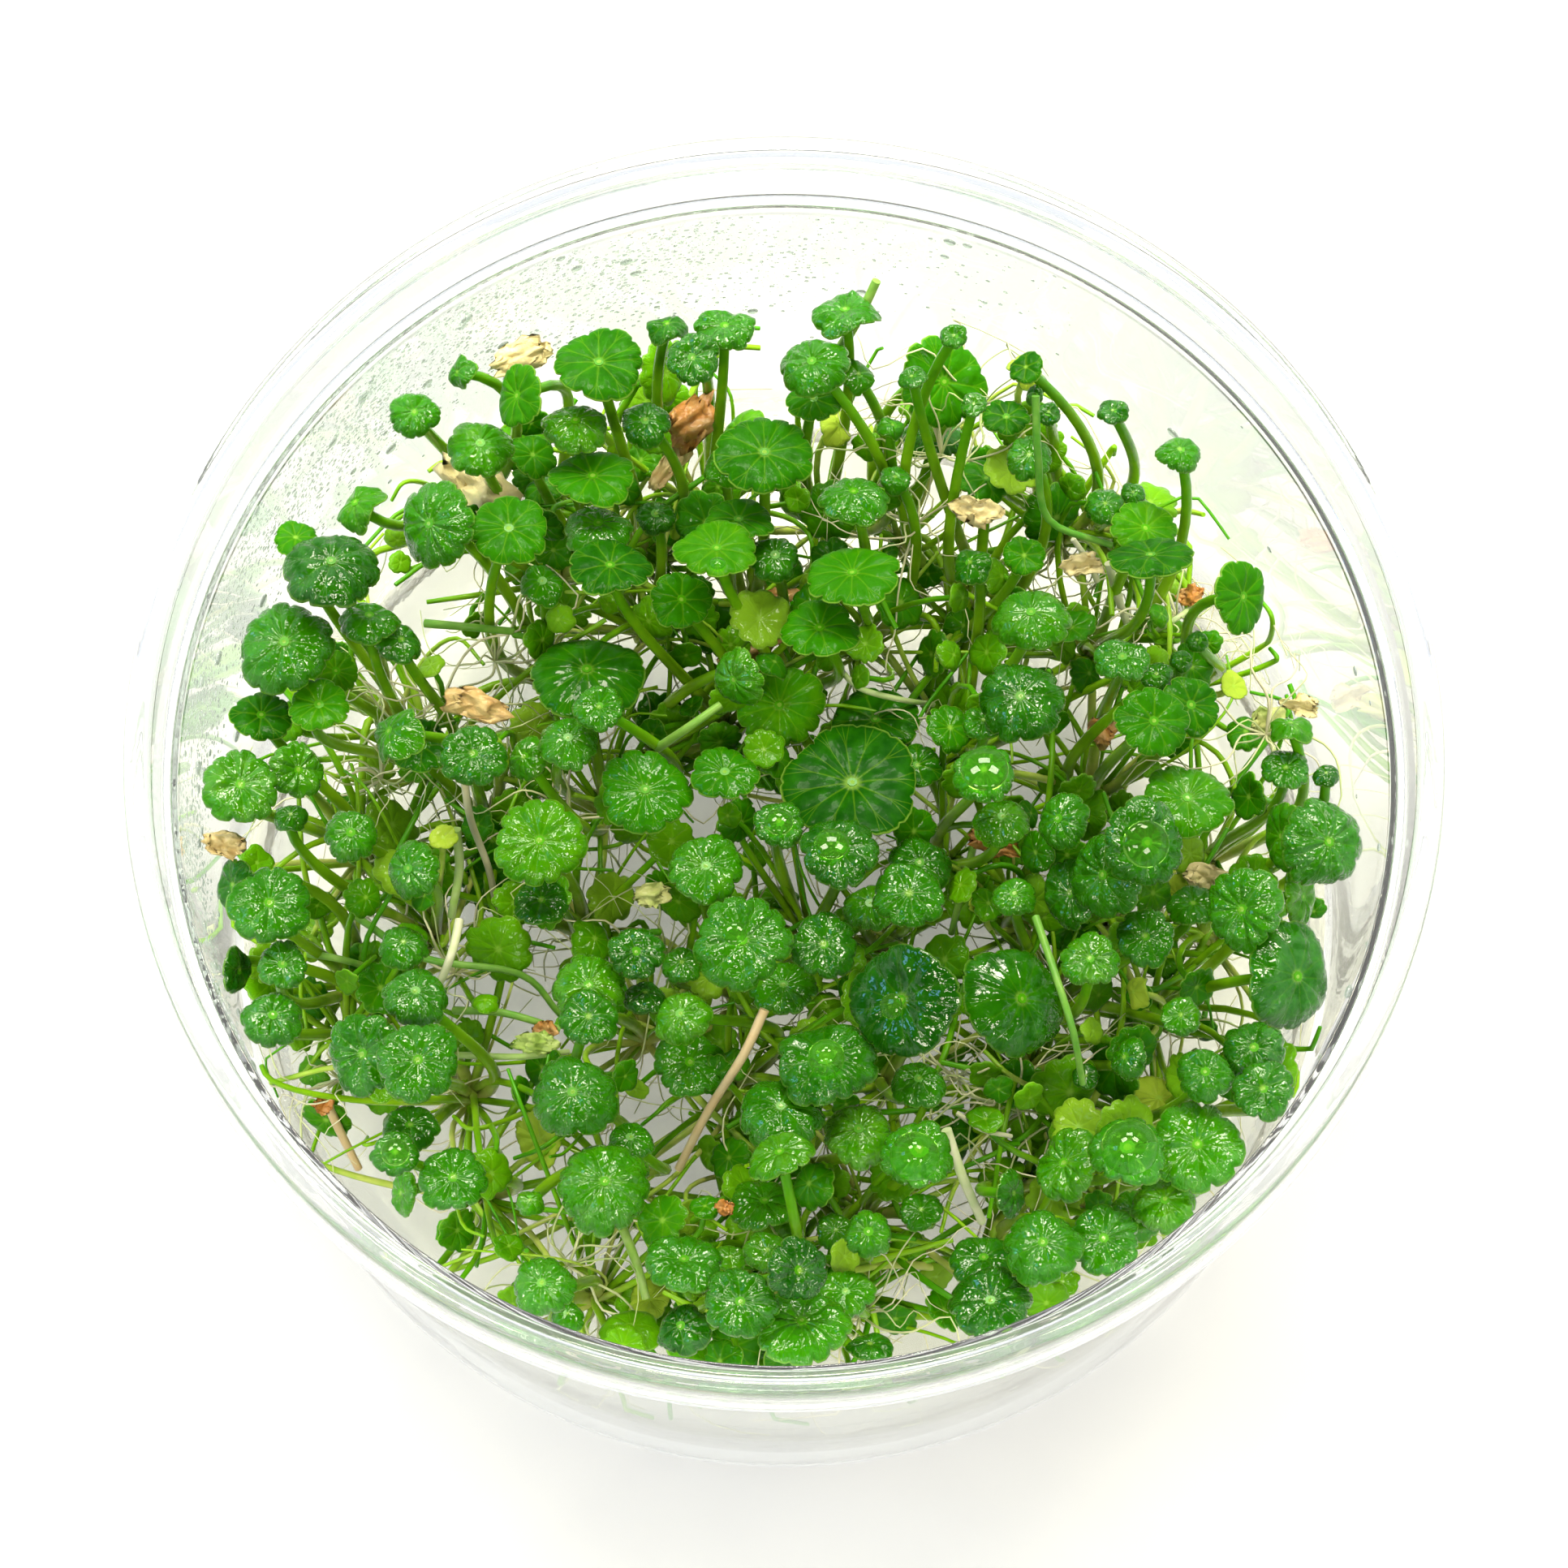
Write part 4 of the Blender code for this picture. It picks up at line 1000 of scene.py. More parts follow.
@dataclass(frozen=True)
class RootTissue:
    """Young roots: thin, pale and slightly see-through."""

    pale: str = "C7C2A2"
    green: str = "9EB06B"

    def make(self) -> bpy.types.Material:
        """Builds the material from each root's own tone."""
        material, tree, shader = new_material("pennywort_root_tissue")
        tone = add_node(tree, "ShaderNodeAttribute", attribute_name="tone").outputs["Fac"]
        colour = mixed(tree, tone, linear(self.pale), linear(self.green))
        tree.links.new(colour, shader.inputs["Base Color"])
        shader.inputs["Roughness"].default_value = 0.35
        return material


def ramp(tree: bpy.types.NodeTree, share: Any, stops: tuple[tuple[float, str], ...]) -> Any:
    """Adds a run of colours over a share and returns its socket."""
    node = add_node(tree, "ShaderNodeValToRGB", {"Fac": share})
    band = node.color_ramp
    while len(band.elements) < len(stops):
        band.elements.new(1.0)
    for element, (place, code) in zip(band.elements, stops):
        element.position = place
        element.color = linear(code)
    return node.outputs["Color"]


@dataclass(frozen=True)
class SprigTissue:
    """Bare stems: smooth and juicy while green, pale and then tan as they age."""

    stops: tuple[tuple[float, str], ...] = (
        (0.0, "418521"),
        (0.25, "85AB4C"),
        (0.5, "C1C4A4"),
        (1.0, "B99A69"),
    )

    def make(self) -> bpy.types.Material:
        """Builds the material from each stem's age, kept as its tone."""
        material, tree, shader = new_material("pennywort_bare_stem")
        tone = add_node(tree, "ShaderNodeAttribute", attribute_name="tone").outputs["Fac"]
        place = add_node(tree, "ShaderNodeTexCoord").outputs["Object"]
        streak = add_node(tree, "ShaderNodeTexNoise", {"Vector": place, "Scale": 700.0, "Detail": 3.0})
        shift = maths(tree, "MULTIPLY_ADD", streak.outputs["Fac"], 0.3, -0.15)
        aged = maths(tree, "ADD", tone, shift)
        tree.links.new(ramp(tree, aged, self.stops), shader.inputs["Base Color"])
        bump = add_node(
            tree,
            "ShaderNodeBump",
            {"Strength": 0.3, "Distance": 0.0002, "Height": streak.outputs["Fac"]},
        )
        tree.links.new(bump.outputs["Normal"], shader.inputs["Normal"])
        shader.inputs["Roughness"].default_value = 0.3
        shader.inputs["IOR"].default_value = 1.4
        shader.inputs["Specular IOR Level"].default_value = 0.3
        return material


@dataclass(frozen=True)
class HuskTissue:
    """Dead leaf: soft and wet, from pale green through cream and tan to orange-brown."""

    stops: tuple[tuple[float, str], ...] = (
        (0.0, "90B04F"),
        (0.4, "CBBF8A"),
        (0.7, "C4B177"),
        (1.0, "AA7232"),
    )

    def make(self) -> bpy.types.Material:
        """Builds the material from each husk's age, with darker folds."""
        material, tree, shader = new_material("withered_leaf_tissue")
        age = add_node(tree, "ShaderNodeAttribute", attribute_name="age").outputs["Fac"]
        place = add_node(tree, "ShaderNodeTexCoord").outputs["Object"]
        folds = add_node(
            tree, "ShaderNodeTexNoise", {"Vector": place, "Scale": 420.0, "Detail": 4.0, "Roughness": 0.6}
        )
        shift = maths(tree, "MULTIPLY_ADD", folds.outputs["Fac"], 0.6, -0.3)
        tree.links.new(ramp(tree, maths(tree, "ADD", age, shift), self.stops), shader.inputs["Base Color"])
        bump = add_node(
            tree,
            "ShaderNodeBump",
            {"Strength": 0.7, "Distance": 0.0006, "Height": folds.outputs["Fac"]},
        )
        tree.links.new(bump.outputs["Normal"], shader.inputs["Normal"])
        shader.inputs["Roughness"].default_value = 0.3
        shader.inputs["IOR"].default_value = 1.4
        return material


def path_tree(name: str, material: bpy.types.Material) -> bpy.types.GeometryNodeTree:
    """Builds the node tree that turns loose edges into round stems.

    Args:
        name: the tree's name.
        material: the default of its Material input.

    Returns:
        A tree with the inputs Geometry, Sides and Material.
    """
    tree = bpy.data.node_groups.new(name, "GeometryNodeTree")
    face = tree.interface
    face.new_socket("Geometry", in_out="INPUT", socket_type="NodeSocketGeometry")
    sides = face.new_socket("Sides", in_out="INPUT", socket_type="NodeSocketInt")
    sides.default_value = 7
    skin = face.new_socket("Material", in_out="INPUT", socket_type="NodeSocketMaterial")
    skin.default_value = material
    face.new_socket("Geometry", in_out="OUTPUT", socket_type="NodeSocketGeometry")
    given = add_node(tree, "NodeGroupInput")
    on_path = add_node(tree, "GeometryNodeInputNamedAttribute", {"Name": "path"}, data_type="FLOAT")
    thick = add_node(tree, "GeometryNodeInputNamedAttribute", {"Name": "thick"}, data_type="FLOAT")
    parted = add_node(
        tree,
        "GeometryNodeSeparateGeometry",
        {"Geometry": given.outputs["Geometry"], "Selection": on_path.outputs["Attribute"]},
        domain="POINT",
    )
    lines = add_node(tree, "GeometryNodeMeshToCurve", {"Mesh": parted.outputs["Selection"]})
    ring = add_node(tree, "GeometryNodeCurvePrimitiveCircle", {"Resolution": given.outputs["Sides"], "Radius": 1.0})
    tube = add_node(
        tree,
        "GeometryNodeCurveToMesh",
        {
            "Curve": lines.outputs["Curve"],
            "Profile Curve": ring.outputs["Curve"],
            "Scale": thick.outputs["Attribute"],
            "Fill Caps": True,
        },
    )
    both = add_node(tree, "GeometryNodeJoinGeometry")
    tree.links.new(tube.outputs["Mesh"], both.inputs[0])
    tree.links.new(parted.outputs["Inverted"], both.inputs[0])
    real = add_node(tree, "GeometryNodeRealizeInstances", {"Geometry": both.outputs[0]})
    dressed = add_node(
        tree,
        "GeometryNodeSetMaterial",
        {
            "Geometry": real.outputs[0],
            "Selection": on_path.outputs["Attribute"],
            "Material": given.outputs["Material"],
        },
    )
    add_node(tree, "NodeGroupOutput", {"Geometry": dressed.outputs[0]})
    return tree


def apply_tree(thing: bpy.types.Object, tree: bpy.types.GeometryNodeTree, **inputs: Any) -> bpy.types.Object:
    """Runs a node tree over an object and keeps the result as its plain mesh.

    Args:
        thing: the object whose mesh goes in.
        tree: the geometry node tree.
        inputs: values by the input's name, with _ for a space.

    Returns:
        The same object with the new mesh.
    """
    modifier = thing.modifiers.new(tree.name, "NODES")
    modifier.node_group = tree
    for item in tree.interface.items_tree:
        key = item.name.replace(" ", "_")
        if item.item_type == "SOCKET" and item.in_out == "INPUT" and key in inputs:
            modifier[item.identifier] = inputs[key]
    bpy.context.view_layer.update()
    evaluated = thing.evaluated_get(bpy.context.evaluated_depsgraph_get())
    mesh = bpy.data.meshes.new_from_object(evaluated)
    thing.modifiers.clear()
    old = thing.data
    thing.data = mesh
    bpy.data.meshes.remove(old)
    mesh.name = thing.name
    mesh.shade_smooth()
    return thing


@dataclass
class Finishes:
    """The materials that the pieces share."""

    leaf: bpy.types.Material
    stalk: bpy.types.Material
    plastic: bpy.types.Material
    gel: bpy.types.Material
    water: bpy.types.Material
    mist: bpy.types.Material
    root: bpy.types.Material
    sprig: bpy.types.Material
    husk: bpy.types.Material

    @classmethod
    def make(cls) -> Finishes:
        """Builds every material once."""
        return cls(
            leaf=LeafTissue().make(),
            stalk=StalkTissue().make(),
            plastic=ClearPlastic().make(),
            gel=NutrientGel().make(),
            # The drops' green and the condensation's grey-green are painted casts that stand in for the leaves seen
            # through them.
            water=ClearWater().make("water", "6EA83A", 0.9, 0.03),
            mist=ClearWater().make("condensed_water", "D0DAD4", 0.82, 0.0),
            root=RootTissue().make(),
            sprig=SprigTissue().make(),
            husk=HuskTissue().make(),
        )


@dataclass
class Lamina:
    """The fine surface of one blade: lobes, notches, veins that are sunk, and swellings between."""

    blade: Blade
    seed: int
    tone: float
    gloss: float
    rings: int = 12
    steps_a_lobe: int = 8
    notch: float = 0.095
    crenels: float = 0.028
    swelling: float = 0.12
    ring: float = 0.14
    roll: float = 0.4
    uneven: float = 0.055
    thickness: float = 0.24

    def draw(self, draft: Draft) -> None:
        """Adds the blade's closed shell to a draft.

        Args:
            draft: the plantlet's draft.
        """
        blade = self.blade
        rng = np.random.default_rng(self.seed)
        radius = blade.radius
        lobes = int(np.clip(round(6.5 + radius * 1.1 + rng.uniform(-0.9, 0.9)), 7, 13))
        if radius < 1.7:
            lobes = 6
        notch = self.notch * (0.35 if radius > SMOOTH_RADIUS else 1.0)
        steps = self.steps_a_lobe if radius > 2.0 else min(6, self.steps_a_lobe)
        rings = self.rings if radius > 2.0 else min(7, self.rings)
        around = lobes * steps
        plain = 2 * np.pi * np.arange(around) / around
        turn = rng.uniform(0, 2 * np.pi)
        sway = 0.16 * np.sin(plain + rng.uniform(0, 6.28)) + 0.08 * np.sin(2 * plain + rng.uniform(0, 6.28))
        angle = plain + turn + sway
        lobe = np.abs(np.sin(lobes * plain / 2))
        depth = 1 + 0.6 * np.sin(3 * plain + rng.uniform(0, 6.28)) * rng.uniform(0.3, 1)
        scallop = 1 - notch * depth * (1 - lobe**0.42)
        scallop -= self.crenels * (1 - np.abs(np.sin(3 * lobes * plain / 2)) ** 0.6)
        for waves, size in ((2, 0.6), (3, 0.7), (5, 0.5)):
            scallop += self.uneven * size * np.sin(waves * plain + rng.uniform(0, 6.28))
        scallop = scallop / scallop.max()
        share = (np.arange(1, rings + 1) / rings) ** 0.9
        s, a = np.meshgrid(share, angle, indexing="ij")
        edge = np.broadcast_to(scallop, s.shape)
        ribs = np.broadcast_to(lobe, s.shape)
        reach = radius * s * (1 + (edge - 1) * s**4)
        height = radius * self.height_share(s, a, ribs, rng)
        u, v = np.cos(a) * reach, np.sin(a) * reach
        bumps = np.array(
            [noise.noise(Vector((x / 1.1, y / 1.1, self.seed * 0.37))) for x, y in zip(u.ravel(), v.ravel())]
        ).reshape(u.shape)
        crinkle = np.array(
            [noise.noise(Vector((x / 0.6, y / 0.6, 9 + self.seed * 0.37))) for x, y in zip(u.ravel(), v.ravel())]
        ).reshape(u.shape)
        relief = (0.2 * bumps + 0.07 * crinkle * self.gloss) * (0.3 + self.gloss)
        height = height + relief * np.sin(np.pi * np.clip(s * 0.9, 0, 1))
        normal = np.array(blade.normal)
        first, second = np.array(blade.first), np.array(blade.second)
        middle = np.array(blade.middle)
        top = middle + u[..., None] * first + v[..., None] * second + height[..., None] * normal
        thick = self.thickness * (1 - 0.55 * s)
        low = top - thick[..., None] * normal
        points = np.vstack(
            (middle[None], top.reshape(-1, 3), (middle - normal * self.thickness)[None], low.reshape(-1, 3))
        )
        flat_angle = np.broadcast_to(plain, s.shape)
        flat = 0.5 + 0.5 * s[..., None] * np.stack((np.cos(flat_angle), np.sin(flat_angle)), -1)
        flat = np.vstack((np.full((1, 2), 0.5), flat.reshape(-1, 2)))
        half = 1 + rings * around
        side = np.concatenate((np.zeros(half), np.ones(half)))
        draft.add(
            points,
            self.faces(rings, around),
            np.vstack((flat, flat)),
            lobes=lobes,
            size=radius,
            tone=self.tone,
            gloss=self.gloss,
            side=side,
            path=0.0,
            thick=0.0,
            along=1.0,
        )

    def height_share(self, s: np.ndarray, a: np.ndarray, ribs: np.ndarray, rng: np.random.Generator) -> np.ndarray:
        """How high the surface stands over the blade's middle, as a share of its radius.

        Args:
            s: shares of the radius.
            a: angles round the middle.
            ribs: 0 at a notch and 1 at the middle of a lobe.
            rng: the blade's own random numbers.

        Returns:
            An array like s.
        """
        blade = self.blade
        wave = blade.wave * np.sin(EDGE_WAVES * a + blade.leaf.across)
        rise = blade.rise * (1 - 0.75 * self.gloss) if blade.rise > 0 else blade.rise * 0.6
        height = rise * s**1.7 + wave * s**2
        patchy = 0.7 + 0.5 * np.sin(2 * a + blade.leaf.down) * np.sin(5 * a + blade.leaf.across)
        quilt = np.maximum(1 - ribs**2, 0.0) * s**1.3 * (1 - s**5) * 1.5 * patchy
        calm = 0.3 if blade.radius > SMOOTH_RADIUS else 1.0
        height = height + self.swelling * calm * (0.25 + 0.75 * self.gloss) * quilt
        height = height + (self.ring * s**2 - self.roll * s**3.2) * (0.2 + 0.8 * self.gloss) * (0.5 + 0.5 * calm)
        height = height - 0.05 * np.exp(-((s / 0.16) ** 2))
        tilt = 0.06 * np.sin(2 * a + rng.uniform(0, 6.28)) * s**2
        return height + tilt

    @staticmethod
    def faces(rings: int, around: int) -> list[list[int]]:
        """The faces of a closed shell with a top and a bottom of concentric rings."""
        half = 1 + rings * around
        made = []
        for k in range(around):
            n = (k + 1) % around
            made.append([0, 1 + k, 1 + n])
            made.append([half, half + 1 + n, half + 1 + k])
            for i in range(rings - 1):
                a, b = 1 + i * around, 1 + (i + 1) * around
                made.append([a + k, b + k, b + n, a + n])
                made.append([half + a + k, half + a + n, half + b + n, half + b + k])
            last = 1 + (rings - 1) * around
            made.append([last + k, half + last + k, half + last + n, last + n])
        return made


@dataclass
class Plants:
    """Every plantlet of the frame, each dressed as one piece of fine blades on round stalks."""

    finishes: Finishes
    stalk_points: int = 14
    plants: dict[str, list[Blade]] = field(default_factory=dict)
    crowns: dict[str, Vector] = field(default_factory=dict)
    stalks: dict[int, Stalk] = field(default_factory=dict)

    def lay_out(self) -> None:
        """Works out where every blade, crown and stalk of the frame is."""
        self.plants = {name: [Blade(leaf) for leaf in rows] for name, rows in PLANTLETS.items()}
        lift_blades([blade for group in self.plants.values() for blade in group])
        self.crowns, self.stalks = route_stalks(self.plants)

    def build(self) -> list[bpy.types.Object]:
        """Builds and dresses one piece for each plantlet."""
        tree = path_tree("stalks_on_paths", self.finishes.stalk)
        pieces = []
        for number, (name, blades) in enumerate(self.plants.items()):
            draft = Draft()
            for index, blade in enumerate(blades):
                seed = 100 * number + index + 7
                rng = np.random.default_rng(seed)
                gloss = {Form.FLAT: 0.35, Form.DOME: 0.75, Form.CUP: 0.95, Form.RUFFLE: 0.95, Form.CURL: 0.6}
                tone = float(rng.uniform(0.15, 0.7))
                wet = gloss[blade.leaf.form] + float(np.interp(blade.leaf.down, (850, 1150), (0.05, 0.45)))
                if blade.radius > SMOOTH_RADIUS:
                    tone *= 0.4
                    wet *= 0.7
                Lamina(blade, seed, tone, min(1.0, wet)).draw(draft)
                self.draw_stalk(draft, self.stalks[id(blade)], tone)
            self.draw_crown(draft, self.crowns[name], number)
            piece = draft.finish(name + "_grown", [self.finishes.leaf, self.finishes.stalk])
            apply_tree(piece, tree, Sides=8, Material=self.finishes.stalk)
            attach(piece, "root")
            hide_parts(name)
            pieces.append(piece)
        return pieces

    def draw_stalk(self, draft: Draft, stalk: Stalk, tone: float) -> None:
        """Adds a stalk's path to a draft, thinner towards the blade."""
        line = stalk.along(self.stalk_points - 1)
        line.append(stalk.blade.middle - stalk.blade.normal * 0.05)
        shares = np.linspace(0, 1, len(line))
        thick = STALK_FOOT_RADIUS + (STALK_TOP_RADIUS - STALK_FOOT_RADIUS) * shares
        self.draw_path(draft, np.array(line), thick, shares, tone)

    @staticmethod
    def draw_path(draft: Draft, line: np.ndarray, thick: np.ndarray, along: np.ndarray, tone: float) -> None:
        """Adds a chain of loose edges that becomes a round stem."""
        edges = [(i, i + 1) for i in range(len(line) - 1)]
        draft.add(
            line,
            [],
            edges=edges,
            lobes=8.0,
            size=1.0,
            tone=tone,
            gloss=0.5,
            side=0.0,
            path=1.0,
            thick=thick * MM,
            along=along,
        )

    def draw_crown(self, draft: Draft, crown: Vector, number: int) -> None:
        """Adds the short, swollen stem that the stalks leave from."""
        heights = np.array((-0.75, -0.5, 0.0, 0.5, 0.9, 1.2)) * 0.85
        widths = np.array((0.25, 0.85, 1.15, 0.95, 0.6, 0.2))
        line = np.array([crown + Vector((0, 0, h)) for h in heights])
        self.draw_path(draft, line, widths, np.full(len(line), 0.12), 0.8)


class Sprig(NamedTuple):
    """A bare stem between the leaves: its way through the picture, thickness and age.

    way: (across, down, height) for each bend, in pixels and millimetres.
    age: 0 is fresh green, 0.5 pale and 1 tan.
    """

    way: tuple[tuple[int, int, float], ...]
    thick: float
    age: float


SPRIGS = (
    Sprig(((1036, 428, 36.0), (1058, 392, 39.0), (1080, 346, 42.0)), 0.85, 0.2),
    Sprig(((1276, 488, 46.0), (1279, 560, 43.0), (1292, 640, 38.0), (1370, 672, 36.0)), 0.62, 0.05),
    Sprig(((1276, 1130, 45.0), (1300, 1200, 46.5), (1322, 1270, 46.0), (1334, 1335, 41.0)), 0.6, 0.1),
    Sprig(((1166, 1392, 38.0), (1186, 1450, 35.0), (1210, 1505, 30.0)), 0.8, 0.45),
    Sprig(((1180, 1372, 32.0), (1210, 1392, 33.0), (1246, 1400, 31.0)), 0.4, 0.5),
    Sprig(((942, 1244, 38.0), (916, 1300, 36.0), (872, 1370, 31.0), (836, 1440, 26.0)), 0.75, 0.85),
    Sprig(((566, 1134, 34.0), (558, 1170, 34.5), (544, 1206, 33.0), (522, 1242, 30.0)), 0.7, 0.45),
    Sprig(((562, 1022, 33.0), (566, 1070, 30.0), (556, 1130, 27.0)), 0.75, 0.3),
    Sprig(((572, 960, 34.0), (580, 1010, 30.0), (602, 1070, 25.0), (612, 1124, 20.0)), 0.6, 0.6),
    Sprig(((400, 1352, 22.0), (418, 1392, 20.0), (442, 1440, 17.0)), 0.75, 0.9),
    Sprig(((1366, 694, 30.0), (1378, 738, 27.0), (1392, 776, 24.0)), 0.7, 0.5),
    Sprig(((1352, 716, 28.0), (1340, 690, 30.0), (1322, 664, 32.0)), 0.5, 0.5),
    Sprig(((524, 768, 31.0), (570, 772, 32.0), (632, 778, 30.0)), 0.7, 0.1),
    Sprig(((762, 1500, 22.0), (784, 1556, 25.0), (796, 1600, 24.0)), 0.75, 0.25),
    Sprig(((1200, 1040, 24.0), (1186, 1096, 26.0), (1172, 1150, 22.0)), 0.6, 0.15),
    Sprig(((380, 1175, 26.0), (420, 1182, 27.0), (470, 1196, 24.0)), 0.6, 0.15),
    Sprig(((440, 1130, 25.0), (520, 1180, 29.0), (640, 1200, 28.0), (690, 1250, 24.0)), 0.6, 0.1),
    Sprig(((560, 1245, 24.0), (620, 1248, 27.0), (690, 1268, 26.0)), 0.65, 0.15),
    Sprig(((560, 1300, 22.0), (640, 1302, 25.0), (700, 1296, 22.0)), 0.55, 0.3),
    Sprig(((810, 922, 32.0), (850, 895, 36.0), (888, 868, 36.5)), 0.72, 0.15),
    Sprig(((1030, 820, 26.0), (1060, 848, 29.0), (1110, 862, 28.0), (1150, 868, 24.0)), 0.5, 0.35),
    Sprig(((1480, 740, 24.0), (1450, 762, 26.0), (1420, 780, 24.0)), 0.5, 0.35),
)


class Husk(NamedTuple):
    """A dead or dying leaf, crumpled among the stalks.

    across, down: its middle in the picture. width, depth: its size in the picture, in pixels.
    height: its middle above the ground plane. age: 0 is pale green, 0.4 cream, 1 orange-brown.
    """

    across: int
    down: int
    width: int
    depth: int
    height: float
    turn: int
    age: float


HUSKS = (
    Husk(642, 432, 70, 34, 38.0, 20, 0.5),
    Husk(592, 612, 100, 70, 31.0, -30, 0.42),
    Husk(848, 520, 78, 46, 31.0, 60, 0.95),
    Husk(826, 572, 70, 24, 29.0, 50, 0.75),
    Husk(1203, 630, 38, 54, 36.0, 80, 0.5),
    Husk(1335, 696, 26, 46, 34.0, 100, 0.45),
    Husk(584, 869, 72, 34, 33.0, -10, 0.8),
    Husk(270, 1040, 30, 46, 40.0, 80, 0.7),
    Husk(802, 1103, 44, 26, 30.0, 10, 0.2),
    Husk(660, 1285, 46, 26, 29.0, 0, 0.05),
    Husk(893, 1488, 20, 18, 33.0, 0, 1.0),
    Husk(1482, 1080, 46, 30, 27.0, 0, 0.4),
    Husk(1610, 868, 26, 40, 27.0, 80, 0.4),
    Husk(935, 790, 90, 40, 24.0, 30, 0.85),
    Husk(1470, 735, 30, 26, 26.0, 0, 0.95),
    Husk(1358, 900, 34, 36, 27.0, 0, 0.9),
    Husk(672, 1270, 26, 24, 27.0, 0, 0.95),
    Husk(398, 1362, 24, 20, 23.0, 0, 1.0),
    Husk(1225, 1040, 60, 26, 26.0, -20, 0.95),
    Husk(1560, 890, 40, 30, 24.0, 10, 0.15),
    Husk(960, 735, 40, 20, 26.0, 10, 0.9),
    Husk(640, 1030, 90, 24, 18.0, 70, 0.75),
)


PALE_LEAVES = (
    Leaf(664, 1404, 5.4, 22.0, 0.7, 200, Form.CUP),
    Leaf(1428, 1352, 6.4, 24.0, 0.62, 80, Form.RUFFLE),
    Leaf(546, 1032, 2.6, 34.0, 0.9, 90, Form.CUP),
    Leaf(1034, 524, 3.6, 30.0, 0.7, 30, Form.CURL),
    Leaf(1266, 452, 3.4, 38.0, 0.7, 60, Form.CURL),
    Leaf(1396, 1222, 3.0, 30.0, 0.6, 170, Form.CURL),
    Leaf(1520, 845, 3.0, 27.0, 0.7, 40, Form.CUP),
    Leaf(1214, 1116, 3.2, 29.0, 0.6, 90, Form.CUP),
    Leaf(800, 1600, 4.4, 20.0, 0.7, 120, Form.RUFFLE),
    Leaf(1452, 1105, 4.0, 25.0, 0.7, 200, Form.RUFFLE),
)


@dataclass
class Understory:
    """Young leaves low between the stalks, each on a stalk of its own from a crown near it."""

    finishes: Finishes
    plants: Plants
    number: int = 380
    seed: int = 41
    least: float = 1.1
    most: float = 3.3
    low: float = 16.5
    high: float = 34.0
    room: float = 0.35
    reach: float = 11.0
    tries: int = 24
    rings: int = 5
    steps_a_lobe: int = 4

    def build(self) -> list[bpy.types.Object]:
        """Grows the young leaves one by one, where there is room, as a left and a right piece."""
        rng = np.random.default_rng(self.seed)
        blades = [blade for group in self.plants.plants.values() for blade in group]
        taken = np.vstack([blade.samples() for blade in blades])
        taken = np.vstack([taken, *(stalk.samples() for stalk in self.plants.stalks.values())])
        crowns = list(self.plants.crowns.values())
        left, right = Draft(), Draft()
        grown = 0
        for _ in range(self.number * self.tries):
            if grown == self.number:
                break
            crown = crowns[rng.integers(len(crowns))]
            blade = self.sprout(crown, rng)
            cloud = blade.samples()
            if distance(cloud, taken) < self.room:
                continue
            taken = np.vstack((taken, cloud))
            draft = left if blade.middle.x < 0 else right
            tone = float(rng.uniform(0.3, 1.25))
            young = Lamina(blade, 5000 + grown, tone, 0.5, self.rings, self.steps_a_lobe)
            young.notch = 0.1
            young.draw(draft)
            sway = Vector((rng.normal(0, 1.6), rng.normal(0, 1.6), 0.0))
            stalk = Stalk(crown, blade, sway)
            line = np.array(stalk.along(7))
            share = np.linspace(0, 1, len(line))
            thin = 0.2 + 0.06 * blade.radius
            Plants.draw_path(draft, line, thin * (1.15 - 0.3 * share), share, float(rng.uniform(0.3, 1)))
            grown += 1
        for index, leaf in enumerate(PALE_LEAVES):
            blade = Blade(leaf)
            draft = left if blade.middle.x < 0 else right
            Lamina(blade, 7000 + index, 1.6, 0.45, 9, 6).draw(draft)
            crown = min(crowns, key=lambda c: (c - blade.middle).xy.length)
            line = np.array(Stalk(crown, blade, Vector()).along(7))
            Plants.draw_path(draft, line, np.full(len(line), 0.3), np.full(len(line), 0.2), 1.0)
        log.info("young leaves: %d", grown)
        tree = path_tree("young_stalks_on_paths", self.finishes.stalk)
        pieces = []
        for name, draft in (("young_leaves_left", left), ("young_leaves_right", right)):
            piece = draft.finish(name, [self.finishes.leaf, self.finishes.stalk])
            apply_tree(piece, tree, Sides=6, Material=self.finishes.stalk)
            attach(piece, "root")
            pieces.append(piece)
        return pieces

    def sprout(self, crown: Vector, rng: np.random.Generator) -> Blade:
        """Puts a young blade somewhere near a crown."""
        heading = rng.uniform(0, 2 * math.pi)
        away = self.reach * math.sqrt(rng.uniform(0.01, 1))
        height = float(rng.uniform(self.low, self.high))
        middle = Vector((crown.x + away * math.cos(heading), crown.y + away * math.sin(heading), height))
        limit = wall_radius(height) - self.most
        if middle.xy.length > limit:
            middle.xy *= limit / middle.xy.length
        across, down = in_picture(middle)
        width = 2 * float(self.least + (self.most - self.least) * rng.beta(1.4, 2.2))
        form = (Form.FLAT, Form.DOME, Form.CUP)[rng.integers(3)]
        squash = float(rng.uniform(0.6, 0.98))
        return Blade(Leaf(across, down, width, height, squash, int(rng.uniform(0, 360)), form))


